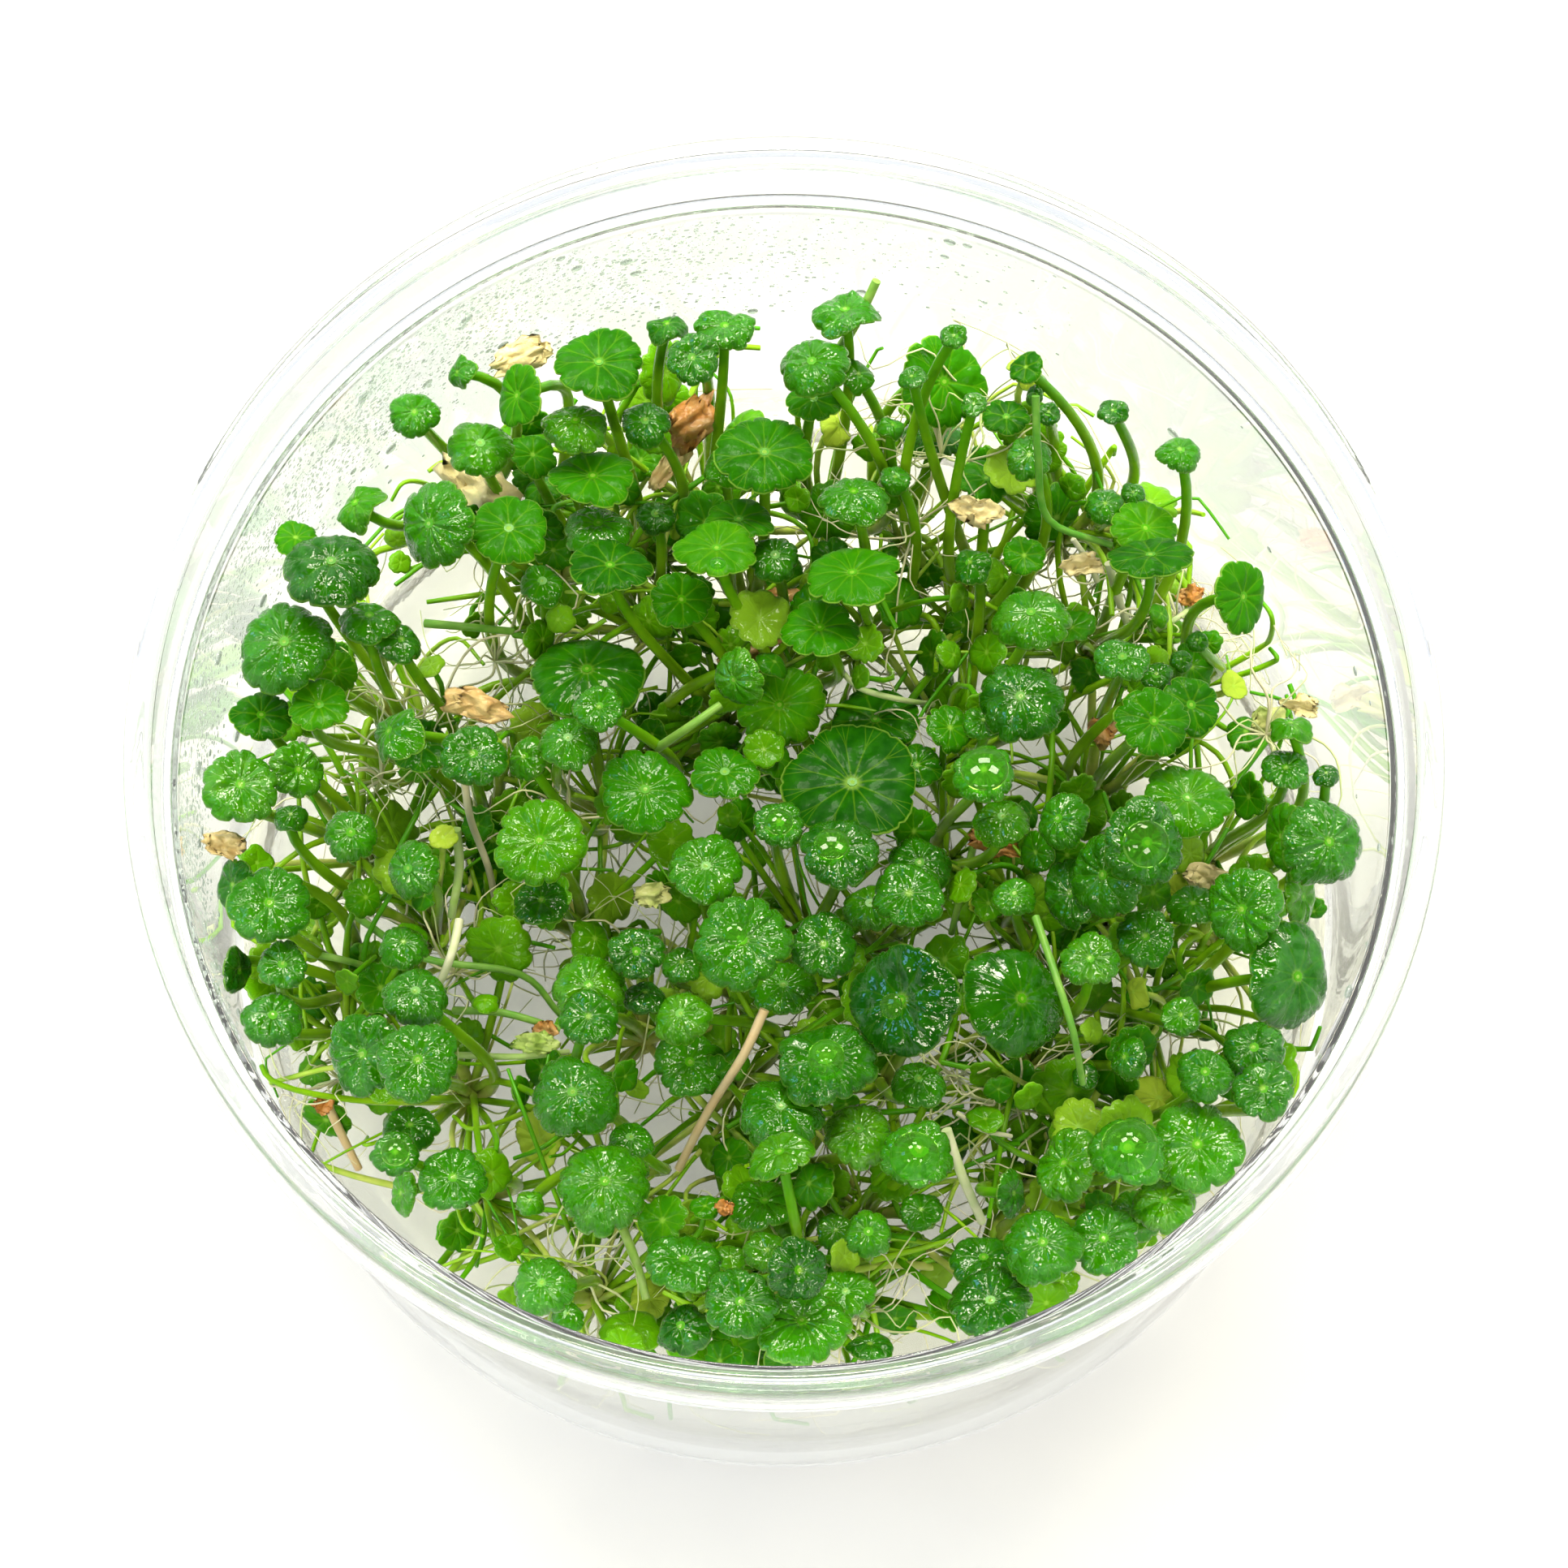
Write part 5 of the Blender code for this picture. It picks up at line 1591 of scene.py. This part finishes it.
@dataclass
class Roots:
    """Pale roots in fans from the crowns, runners from crown to crown, and bare sprigs."""

    finishes: Finishes
    plants: Plants
    seed: int = 8
    fan: int = 10
    tangle: int = 460
    runner_reach: float = 17.0
    floor: float = GEL_TOP + 0.2

    def build(self) -> list[bpy.types.Object]:
        """Draws the three kinds of path and dresses them."""
        rng = np.random.default_rng(self.seed)
        crowns = list(self.plants.crowns.values())
        fans = Draft()
        for crown in crowns:
            for _ in range(self.fan):
                self.draw_root(fans, np.array(crown), rng)
        for across, down, height in ROOT_KNOTS:
            knot = np.array(seen_at(across, down, height))
            for _ in range(self.fan + 5):
                self.draw_root(fans, knot, rng)
        runners = Draft()
        for i, crown in enumerate(crowns):
            near = sorted(crowns[i + 1 :], key=lambda c: (c - crown).length)[:2]
            for other in near:
                if (other - crown).length < self.runner_reach:
                    self.draw_runner(runners, np.array(crown), np.array(other), rng)
        for _ in range(self.tangle):
            start = np.array(crowns[rng.integers(len(crowns))])
            heading = rng.uniform(0, 2 * math.pi)
            reach = rng.uniform(6.0, 20.0)
            end = start + np.array((math.cos(heading) * reach, math.sin(heading) * reach, rng.uniform(2.0, 15.0)))
            self.draw_shoot(runners, start, end, rng)
        sprigs = Draft()
        for sprig in SPRIGS:
            corners = np.array([seen_at(across, down, height) for across, down, height in sprig.way])
            line = smooth_path(corners, 5)
            thick = np.linspace(1.1, 0.92, len(line)) * sprig.thick / 2
            Plants.draw_path(sprigs, line, thick, np.linspace(0, 1, len(line)), sprig.age)
        pieces = []
        for name, draft, sides, material in (
            ("white_roots", fans, 5, self.finishes.root),
            ("runners", runners, 7, self.finishes.stalk),
            ("bare_sprigs", sprigs, 10, self.finishes.sprig),
        ):
            piece = draft.finish(name, [material])
            apply_tree(piece, path_tree(name + "_on_paths", material), Sides=sides, Material=material)
            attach(piece, "root")
            pieces.append(piece)
        return pieces

    def keep_in(self, line: np.ndarray) -> np.ndarray:
        """Keeps points above the gel and inside the cup's wall."""
        line[:, 2] = np.maximum(line[:, 2], self.floor)
        limit = np.array([wall_radius(height) - 0.5 for height in line[:, 2]])
        length = np.hypot(line[:, 0], line[:, 1])
        line[:, :2] *= np.minimum(1.0, limit / np.maximum(length, 0.001))[:, None]
        return line

    def draw_root(self, draft: Draft, start: np.ndarray, rng: np.random.Generator) -> None:
        """Adds one root that arches out from its start and comes down."""
        heading = rng.uniform(0, 2 * math.pi)
        length = rng.uniform(4.0, 15.0)
        rise = rng.uniform(-1.0, 7.0)
        corners = []
        for share in np.linspace(0, 1, 6):
            heading += rng.normal(0, 0.28)
            lift = rise * math.sin(math.pi * min(share * 0.8, 1.0)) - 2.5 * share**2
            step = np.array((math.cos(heading), math.sin(heading), 0.0)) * length * share
            corners.append(start + step + np.array((0.0, 0.0, lift)) + rng.normal(0, 0.22, 3))
        corners[0] = start
        line = self.keep_in(smooth_path(np.array(corners), 3))
        thick = np.linspace(1.0, 0.4, len(line)) * rng.uniform(0.07, 0.15)
        Plants.draw_path(draft, line, thick, np.linspace(0, 1, len(line)), float(rng.uniform(0, 1)))

    def draw_shoot(self, draft: Draft, start: np.ndarray, end: np.ndarray, rng: np.random.Generator) -> None:
        """Adds one thin, bowed shoot that rises from a crown into the tangle."""
        bow = np.append(rng.normal(0, 2.0, 2), rng.uniform(1.0, 5.0))
        corners = np.array((start, start * 0.66 + end * 0.34 + bow, start * 0.3 + end * 0.7 + bow, end))
        line = self.keep_in(smooth_path(corners, 4))
        thick = np.linspace(1.0, 0.6, len(line)) * rng.uniform(0.15, 0.42)
        age = float(rng.uniform(0.1, 0.9))
        along = np.clip(np.linspace(age - 0.25, age + 0.25, len(line)), 0, 1)
        Plants.draw_path(draft, line, thick, along, float(rng.uniform(0.5, 1)))

    def draw_runner(self, draft: Draft, start: np.ndarray, end: np.ndarray, rng: np.random.Generator) -> None:
        """Adds one low, bowed runner between two crowns."""
        middle = (start + end) / 2 + np.append(rng.normal(0, 1.6, 2), rng.uniform(1.0, 7.0))
        early = start * 0.75 + middle * 0.25 + np.array((0.0, 0.0, 1.2))
        line = self.keep_in(smooth_path(np.array((start, early, middle, end)), 5))
        thick = np.full(len(line), rng.uniform(0.26, 0.42))
        age = rng.uniform(0.1, 0.75)
        Plants.draw_path(draft, line, thick, np.full(len(line), age), float(rng.uniform(0.5, 1)))


ROOT_KNOTS = (
    (545, 862, 27.0),
    (500, 905, 24.0),
    (610, 815, 25.0),
    (470, 960, 22.0),
    (700, 1010, 24.0),
    (1130, 645, 28.0),
    (1060, 905, 23.0),
    (1160, 560, 30.0),
    (1210, 500, 31.0),
    (1450, 760, 25.0),
    (1560, 905, 25.0),
    (1330, 1390, 25.0),
    (1180, 1330, 24.0),
    (1060, 1620, 24.0),
    (820, 1180, 22.0),
    (420, 1330, 20.0),
    (700, 1560, 22.0),
    (560, 1200, 22.0),
    (940, 1480, 24.0),
    (1250, 1350, 24.0),
)


@dataclass
class Husks:
    """The dead and dying leaves, each a crumpled, closed skin."""

    finishes: Finishes
    around: int = 26
    rings: int = 16
    crumple: float = 0.62

    def build(self) -> bpy.types.Object:
        """Makes every husk in one piece and dresses it."""
        draft = Draft()
        for number, husk in enumerate(HUSKS):
            self.draw(draft, husk, number)
        piece = draft.finish("withered_leaves", [self.finishes.husk])
        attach(piece, "root")
        return piece

    def draw(self, draft: Draft, husk: Husk, number: int) -> None:
        """Adds one husk: a ball pressed flat towards the eye and crumpled."""
        middle = seen_at(husk.across, husk.down, husk.height)
        scale = (EYE - middle).length / FOCAL_PIXELS
        towards_eye = (EYE - middle).normalized()
        turn = math.radians(husk.turn)
        right = (EYE_RIGHT - towards_eye * EYE_RIGHT.dot(towards_eye)).normalized()
        up = towards_eye.cross(right)
        first = right * math.cos(turn) + up * math.sin(turn)
        second = towards_eye.cross(first)
        half_width, half_depth = husk.width * scale / 2, husk.depth * scale / 2
        points = []
        for direction in ball_directions(self.around, self.rings):
            spot = Vector(direction) * 1.3 + Vector((number * 7.3, 0, 0))
            ripple = 1 + self.crumple * noise.noise(spot) + self.crumple * 0.7 * noise.noise(spot * 2.7)
            x, y, z = direction
            fold = half_depth * (0.3 * math.sin(x * 4.1 + number) + 0.5 * noise.noise(spot * 1.9))
            points.append(
                middle
                + first * (x * half_width * ripple)
                + second * (y * half_depth * ripple)
                + towards_eye * (z * half_depth * 0.26 * ripple + fold)
            )
        outermost = max(points, key=lambda p: p.xy.length)
        excess = outermost.xy.length + WALL_ROOM - wall_radius(outermost.z)
        inward = Vector((middle.x, middle.y, 0.0)).normalized() * max(0.0, excess)
        points = [point - inward for point in points]
        draft.add(np.array(points), ball_faces(self.around, self.rings), age=husk.age)


def ball_directions(around: int, rings: int) -> list[tuple[float, float, float]]:
    """Unit vectors over a ball: one pole, rings of points from it, and the other pole."""
    made = [(0.0, 0.0, 1.0)]
    for i in range(1, rings):
        fall = math.pi * i / rings
        for k in range(around):
            turn = 2 * math.pi * k / around
            made.append((math.sin(fall) * math.cos(turn), math.sin(fall) * math.sin(turn), math.cos(fall)))
    made.append((0.0, 0.0, -1.0))
    return made


def ball_faces(around: int, rings: int) -> list[list[int]]:
    """The faces over the points of ball_directions, all facing out."""
    made = []
    last = 1 + (rings - 1) * around
    for k in range(around):
        n = (k + 1) % around
        made.append([0, 1 + k, 1 + n])
        for i in range(rings - 2):
            a, b = 1 + i * around, 1 + (i + 1) * around
            made.append([a + k, b + k, b + n, a + n])
        end = 1 + (rings - 2) * around
        made.append([end + k, last, end + n])
    return made


class Drop(NamedTuple):
    """A drop of water on a blade: its middle and radius in the picture, and how flat it lies."""

    across: int
    down: int
    radius: int
    flat: float


DROPS = (
    Drop(1018, 1303, 23, 0.97),
    Drop(1127, 1425, 31, 0.95),
    Drop(1392, 1414, 36, 0.8),
    Drop(1412, 1040, 30, 0.4),
    Drop(1213, 948, 30, 0.35),
    Drop(487, 1420, 18, 0.5),
    Drop(960, 1013, 18, 0.45),
    Drop(1025, 1040, 22, 0.3),
    Drop(884, 694, 10, 0.6),
    Drop(1098, 1240, 16, 0.3),
    Drop(1546, 1128, 13, 0.4),
    Drop(905, 1150, 15, 0.3),
    Drop(1272, 492, 9, 0.5),
)


@dataclass
class Water:
    """Drops on the blades, and what has condensed on the inside of the cup."""

    finishes: Finishes
    plants: Plants
    around: int = 40
    rings: int = 24

    def build(self) -> list[bpy.types.Object]:
        """Makes the drops and the two sizes of condensation."""
        draft = Draft()
        blades = [blade for group in self.plants.plants.values() for blade in group]
        for drop in DROPS:
            place = Vector((drop.across, drop.down))
            blade = min(blades, key=lambda b: (Vector(in_picture(b.middle)) - place).length)
            self.draw(draft, drop, blade)
        drops = draft.finish("water_drops", [self.finishes.water])
        drops.visible_shadow = False
        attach(drops, "root")
        return [drops, *(self.condense(band) for band in MISTS)]

    def draw(self, draft: Draft, drop: Drop, blade: Blade) -> None:
        """Adds one drop, pressed flat on its blade."""
        normal = blade.normal
        ray = sight(drop.across, drop.down)
        radius = drop.radius * (blade.middle - EYE).length / FOCAL_PIXELS
        lift = radius * drop.flat * 0.85
        depth = (blade.middle + normal * lift - EYE).dot(normal) / ray.dot(normal)
        middle = EYE + ray * depth
        points = []
        for x, y, z in ball_directions(self.around, self.rings):
            points.append(
                middle + blade.first * (x * radius) + blade.second * (y * radius) + normal * (z * radius * drop.flat)
            )
        draft.add(np.array(points), ball_faces(self.around, self.rings))

    def condense(self, mist: Mist) -> bpy.types.Object:
        """Makes one size of droplets over a part of the wall."""
        patch = self.wall_patch(mist)
        tree = droplet_tree(mist.name + "_on_wall", self.finishes.mist)
        apply_tree(
            patch,
            tree,
            Density=mist.density,
            Least=mist.least * MM,
            Most=mist.most * MM,
            Detail=mist.detail,
            Seed=mist.seed,
            Material=self.finishes.mist,
        )
        patch.visible_shadow = False
        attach(patch, "root")
        return patch

    def wall_patch(self, mist: Mist) -> bpy.types.Object:
        """Makes the part of the wall that droplets form on, with how thickly they do at each point."""
        start, end, low, high = mist.span
        turns = np.radians(np.arange(start, end + 0.1, 2.0))
        heights = np.arange(low, high + 0.01, 1.0)
        angle, height = np.meshgrid(turns, heights, indexing="ij")
        radius = np.array([[wall_radius(h) - 0.02 for h in heights]] * len(turns))
        points = np.stack((radius * np.cos(angle), radius * np.sin(angle), height), -1).reshape(-1, 3)
        rows = len(heights)
        faces = []
        for i in range(len(turns) - 1):
            for j in range(rows - 1):
                a = i * rows + j
                faces.append([a, a + 1, a + rows + 1, a + rows])
        cover = []
        for x, y, z in points:
            turn = math.degrees(math.atan2(y, x)) % 360
            share = np.interp(turn, mist.turns, mist.cover) * np.interp(z, (low, 38.0, 44.0), (0.1, 0.7, 1))
            cover.append(share * max(0.1, 0.85 + 1.1 * noise.noise(Vector((x, y, z)) * 0.2)))
        draft = Draft()
        draft.add(points, faces, cover=np.array(cover))
        return draft.finish(mist.name, [self.finishes.mist])


class Mist(NamedTuple):
    """One size of droplets on the wall.

    span: from and to, in degrees round the cup, and from and to in height.
    density: droplets on a square metre. least, most: their radii in millimetres.
    turns, cover: how the cover changes round the cup.
    """

    name: str
    span: tuple[float, float, float, float]
    density: float
    least: float
    most: float
    detail: int
    seed: int
    turns: tuple[float, ...]
    cover: tuple[float, ...]


MISTS = (
    Mist(
        "fine_condensation", (60, 216, 30.0, 49.7), 9.5e6, 0.06, 0.24, 1, 3,
        (60, 80, 92, 104, 125, 180, 200, 216), (0.02, 0.12, 0.35, 0.8, 1.0, 1.0, 0.5, 0.05),
    ),
    Mist(
        "coarse_condensation", (0, 360, 22.0, 49.2), 1.4e5, 0.16, 0.66, 2, 11,
        (0, 60, 95, 120, 165, 190, 230, 300, 360), (0.08, 0.08, 0.5, 1.0, 1.0, 0.6, 0.1, 0.05, 0.08),
    ),
)


def droplet_tree(name: str, material: bpy.types.Material) -> bpy.types.GeometryNodeTree:
    """Builds the node tree that strews flattened droplets over a surface.

    Args:
        name: the tree's name.
        material: the default of its Material input.

    Returns:
        A tree with the inputs Geometry, Density, Least, Most, Detail, Seed and Material.
    """
    tree = bpy.data.node_groups.new(name, "GeometryNodeTree")
    face = tree.interface
    for label, kind in (
        ("Geometry", "NodeSocketGeometry"),
        ("Density", "NodeSocketFloat"),
        ("Least", "NodeSocketFloat"),
        ("Most", "NodeSocketFloat"),
        ("Detail", "NodeSocketInt"),
        ("Seed", "NodeSocketInt"),
        ("Material", "NodeSocketMaterial"),
    ):
        face.new_socket(label, in_out="INPUT", socket_type=kind)
    face.new_socket("Geometry", in_out="OUTPUT", socket_type="NodeSocketGeometry")
    given = add_node(tree, "NodeGroupInput").outputs
    cover = add_node(tree, "GeometryNodeInputNamedAttribute", {"Name": "cover"}, data_type="FLOAT")
    dense = maths(tree, "MULTIPLY", given["Density"], cover.outputs["Attribute"])
    strewn = add_node(
        tree,
        "GeometryNodeDistributePointsOnFaces",
        {"Mesh": given["Geometry"], "Density": dense, "Seed": given["Seed"]},
    )
    chance = add_node(tree, "FunctionNodeRandomValue", {"Seed": given["Seed"]}, data_type="FLOAT").outputs[1]
    steep = maths(tree, "POWER", chance, 3.5)
    span = maths(tree, "SUBTRACT", given["Most"], given["Least"])
    radius = maths(tree, "MULTIPLY_ADD", steep, span, given["Least"])
    kept = add_node(
        tree,
        "GeometryNodeStoreNamedAttribute",
        {"Geometry": strewn.outputs["Points"], "Name": "drop_radius", "Value": radius},
        data_type="FLOAT",
        domain="POINT",
    )
    own = add_node(tree, "GeometryNodeInputNamedAttribute", {"Name": "drop_radius"}, data_type="FLOAT")
    ball = add_node(tree, "GeometryNodeMeshIcoSphere", {"Radius": 1.0, "Subdivisions": given["Detail"]})
    size = add_node(
        tree,
        "ShaderNodeCombineXYZ",
        {0: own.outputs[0], 1: own.outputs[0], 2: maths(tree, "MULTIPLY", own.outputs[0], 0.4)},
    )
    placed = add_node(
        tree,
        "GeometryNodeInstanceOnPoints",
        {
            "Points": kept.outputs["Geometry"],
            "Instance": ball.outputs["Mesh"],
            "Rotation": strewn.outputs["Rotation"],
            "Scale": size.outputs[0],
        },
    )
    real = add_node(tree, "GeometryNodeRealizeInstances", {"Geometry": placed.outputs[0]})
    smooth = add_node(tree, "GeometryNodeSetShadeSmooth", {"Geometry": real.outputs[0]})
    dressed = add_node(
        tree,
        "GeometryNodeSetMaterial",
        {"Geometry": smooth.outputs[0], "Material": given["Material"]},
    )
    add_node(tree, "NodeGroupOutput", {"Geometry": dressed.outputs[0]})
    return tree


@dataclass
class CupShell:
    """The cup: one thin moulding, turned round its axis."""

    finishes: Finishes
    sides: int = 256

    def profile(self) -> list[tuple[float, float]]:
        """The outline in (radius, height), from the middle of the underside round to the floor."""
        outer_ledge = LEDGE_INNER_RADIUS + LEDGE_WIDTH
        outline = [(0.0, 0.5), (30.0, 0.5), (40.5, 0.4), (41.5, 0.0), (43.4, 0.0)]
        outline += self.arc((44.5, 1.6), 1.6, -90, 0, 6)
        outline += [(LEDGE_INNER_RADIUS + WALL - 0.25, LEDGE_HEIGHT - WALL - 1.0)]
        outline += self.arc((LEDGE_INNER_RADIUS + WALL + 0.15, LEDGE_HEIGHT - WALL - 0.4), 0.4, 180, 90, 4)
        outline += [(outer_ledge + WALL, LEDGE_HEIGHT - WALL)]
        outline += [(RIM_RADIUS + 0.3, RIM_HEIGHT - 2.4)]
        outline += self.arc((RIM_RADIUS + 0.75, RIM_HEIGHT - 2.2), 0.45, 180, 30, 6)
        outline += [(SKIRT_RADIUS - WALL, RIM_HEIGHT - 3.0)]
        outline += [(SKIRT_RADIUS - WALL, SKIRT_FOOT)]
        outline += [(SKIRT_RADIUS - 0.1, SKIRT_FOOT), (SKIRT_RADIUS, SKIRT_FOOT + 0.2)]
        outline += [(SKIRT_RADIUS, SKIRT_FOOT + 1.4), (SKIRT_RADIUS - 0.25, SKIRT_FOOT + 1.7)]
        outline += [(SKIRT_RADIUS - 0.25, RIM_HEIGHT - 2.2)]
        outline += self.arc((RIM_RADIUS + 0.75, RIM_HEIGHT - 1.0), 1.0, 0, 150, 9)
        outline += [(RIM_RADIUS - 0.35, RIM_HEIGHT - 1.4)]
        outline += [(outer_ledge + 0.1, LEDGE_HEIGHT + 0.5)]
        outline += self.arc((outer_ledge - 0.4, LEDGE_HEIGHT + 0.4), 0.4, 0, -90, 4)
        outline += self.arc((LEDGE_INNER_RADIUS + 0.1, LEDGE_HEIGHT - 0.15), 0.15, 90, 180, 4)
        outline += [(wall_radius(3.0), 3.0)]
        outline += self.arc((43.8, FLOOR + 1.6), 1.6, 0, -90, 6)
        outline += [(30.0, FLOOR), (0.0, FLOOR)]
        return outline

    @staticmethod
    def arc(centre: tuple[float, float], radius: float, start: float, end: float, steps: int) -> list[tuple[float, float]]:
        """Points on an arc between two angles in degrees."""
        angles = np.radians(np.linspace(start, end, steps + 1))
        return [(centre[0] + radius * math.cos(t), centre[1] + radius * math.sin(t)) for t in angles]

    def build(self) -> bpy.types.Object:
        """Turns the outline into the cup and dresses it."""
        cup = turned("cup_shell", self.profile(), self.sides, self.finishes.plastic)
        cup.visible_shadow = False
        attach(cup, "root")
        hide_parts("cup")
        return cup


def held(outline: list[tuple[float, float]]) -> list[tuple[float, float]]:
    """Adds points near both ends of each long straight, so that its shading stays straight."""
    points = [outline[0]]
    for (a, b), (c, d) in zip(outline, outline[1:]):
        length = math.hypot(c - a, d - b)
        if length > 4 * HELD_ENDS:
            share = HELD_ENDS / length
            for t in (share, 2 * share, 1 - 2 * share, 1 - share):
                points.append((a + (c - a) * t, b + (d - b) * t))
        points.append((c, d))
    return points


def turned(
    name: str, outline: list[tuple[float, float]], sides: int, material: bpy.types.Material
) -> bpy.types.Object:
    """Makes a closed solid from an outline of (radius, height) that starts and ends on the axis.

    Args:
        name: the object's name.
        outline: the outline in millimetres.
        sides: the number of steps round the axis.
        material: its finish.

    Returns:
        The object in metres, shaded smooth.
    """
    bm = bmesh.new()
    corners = [bm.verts.new((radius * MM, 0.0, height * MM)) for radius, height in held(outline)]
    edges = [bm.edges.new(pair) for pair in zip(corners, corners[1:])]
    bmesh.ops.spin(
        bm,
        geom=corners + edges,
        cent=(0, 0, 0),
        axis=(0, 0, 1),
        angle=2 * math.pi,
        steps=sides,
        use_merge=True,
    )
    bmesh.ops.remove_doubles(bm, verts=bm.verts, dist=0.000001)
    bmesh.ops.recalc_face_normals(bm, faces=bm.faces)
    mesh = bpy.data.meshes.new(name)
    bm.to_mesh(mesh)
    bm.free()
    mesh.shade_smooth()
    mesh.set_sharp_from_angle(angle=math.radians(50))
    mesh.materials.append(material)
    thing = bpy.data.objects.new(name, mesh)
    bpy.context.scene.collection.objects.link(thing)
    return thing


@dataclass
class GelBlock:
    """The gel: a wet block with a slightly uneven top and a meniscus at the wall."""

    finishes: Finishes
    sides: int = 160

    def build(self) -> bpy.types.Object:
        """Turns the block and lifts its top into low waves."""
        edge = wall_radius(GEL_TOP) - CONTACT_GAP
        foot = FLOOR + CONTACT_GAP
        outline = [(0.0, foot), (42.2, foot), (43.6, foot + 0.5), (44.6, foot + 1.6), (edge, GEL_TOP + 0.15)]
        outline += [(edge - 0.4, GEL_TOP - 0.05), (edge - 1.2, GEL_TOP - 0.3)]
        outline += [(radius, GEL_TOP - 0.3) for radius in np.linspace(42.5, 2.0, 24)]
        outline += [(0.0, GEL_TOP - 0.3)]
        gel = turned("gel_block", outline, self.sides, self.finishes.gel)
        for vert in gel.data.vertices:
            if vert.co.z > (GEL_TOP - 0.31) * MM and vert.co.xy.length < 43.0 * MM:
                vert.co.z += noise.noise(vert.co * 90.0) * 0.25 * MM
        gel.visible_shadow = False
        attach(gel, "root")
        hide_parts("gel")
        return gel


class Lamp(NamedTuple):
    """One soft lamp: its place and sizes in metres, its power and its colour."""

    name: str
    place: tuple[float, float, float]
    width: float
    depth: float
    watts: float
    colour: str


LAMPS = (
    Lamp("back_left_box", (-0.28, 0.48, 0.82), 0.29, 0.21, 6.2, "FFF7E2"),
    Lamp("back_right_box", (0.28, 0.48, 0.82), 0.29, 0.21, 6.2, "FFF7E2"),
    Lamp("back_panel", (0.0, 0.64, 0.58), 0.24, 0.16, 3.4, "FFF9E8"),
    Lamp("left_box", (-0.42, -0.45, 0.75), 0.19, 0.17, 2.8, "FFF7E2"),
    Lamp("right_box", (0.42, -0.45, 0.75), 0.19, 0.17, 2.8, "FFF7E2"),
    Lamp("front_panel", (0.0, -0.45, 1.1), 0.33, 0.12, 2.6, "FFF9E8"),
    Lamp("sky_fill", (-0.7, 0.05, 0.6), 0.22, 0.26, 1.4, "8CBCFF"),
)


@dataclass
class Studio:
    """A plain pale floor, soft lamps and the camera."""

    floor_colour: str = "A0A2A2"
    floor_size: float = 3.0
    floor_light: float = 0.45
    sky: tuple[float, float] = (0.5, 0.03)
    sky_turn: float = 0.45
    tent: float = 0.95

    def build(self) -> None:
        """Makes the floor, the lamps, the sky and the camera."""
        bpy.ops.mesh.primitive_plane_add(size=self.floor_size)
        floor = bpy.context.object
        floor.name = "floor"
        material, tree, shader = new_material("matt_white_board")
        place = add_node(tree, "ShaderNodeTexCoord").outputs["Object"]
        grain = add_node(tree, "ShaderNodeTexNoise", {"Vector": place, "Scale": 900.0})
        bump = add_node(tree, "ShaderNodeBump", {"Strength": 0.02, "Distance": 0.0002, "Height": grain.outputs["Fac"]})
        tree.links.new(bump.outputs["Normal"], shader.inputs["Normal"])
        shader.inputs["Base Color"].default_value = linear(self.floor_colour)
        shader.inputs["Roughness"].default_value = 0.8
        shader.inputs["Emission Color"].default_value = linear("FFFFFF")
        shader.inputs["Emission Strength"].default_value = self.floor_light
        floor.data.materials.append(material)
        for lamp in LAMPS:
            self.add_lamp(lamp)
        world = bpy.data.worlds.new("studio")
        bpy.context.scene.world = world
        world.use_nodes = True
        tree = world.node_tree
        place = add_node(tree, "ShaderNodeTexCoord").outputs["Generated"]
        height = add_node(tree, "ShaderNodeSeparateXYZ", {0: place}).outputs["Z"]
        bright = smooth_step(tree, height, 0.0, self.sky_turn, *self.sky)
        path = add_node(tree, "ShaderNodeLightPath").outputs
        clear = maths(tree, "MAXIMUM", path["Is Transmission Ray"], path["Is Singular Ray"])
        bright = maths(tree, "MAXIMUM", bright, maths(tree, "MULTIPLY", clear, self.tent))
        background = tree.nodes["Background"]
        background.inputs["Color"].default_value = linear("F4F8FF")
        tree.links.new(bright, background.inputs["Strength"])
        self.add_camera()
        bpy.context.scene.view_settings.view_transform = "Standard"

    @staticmethod
    def add_lamp(row: Lamp) -> None:
        """Adds a rectangular soft lamp that points at the cup."""
        lamp = bpy.data.lights.new(row.name, "AREA")
        lamp.shape = "RECTANGLE"
        lamp.size = row.width
        lamp.size_y = row.depth
        lamp.energy = row.watts
        lamp.color = linear(row.colour)[:3]
        thing = bpy.data.objects.new(row.name, lamp)
        thing.location = row.place
        aim = Vector((0.0, 0.0, 0.03)) - Vector(row.place)
        thing.rotation_euler = aim.to_track_quat("-Z", "Y").to_euler()
        bpy.context.scene.collection.objects.link(thing)

    @staticmethod
    def add_camera() -> None:
        """Adds the camera at the picture's viewing angle."""
        data = bpy.data.cameras.new("camera")
        data.sensor_width = SENSOR
        data.lens = FOCAL_PIXELS / PICTURE_SIZE * SENSOR
        data.clip_start = 0.01
        camera = bpy.data.objects.new("camera", data)
        camera.location = EYE * MM
        camera.rotation_euler = (math.pi / 2 - EYE_ELEVATION, 0.0, 0.0)
        bpy.context.scene.collection.objects.link(camera)
        bpy.context.scene.camera = camera


def main() -> None:
    """Builds every sub-assembly in order."""
    Studio().build()
    finishes = Finishes.make()
    cup = CupShell(finishes).build()
    gel = GelBlock(finishes).build()
    plants = Plants(finishes)
    plants.lay_out()
    pieces = [cup, gel, *plants.build(), *Understory(finishes, plants).build()]
    pieces += Roots(finishes, plants).build()
    pieces.append(Husks(finishes).build())
    pieces += Water(finishes, plants).build()
    for piece in pieces:
        log.info("%s: %d faces", piece.name, len(piece.data.polygons))
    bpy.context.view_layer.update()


if __name__ == "__main__":
    main()
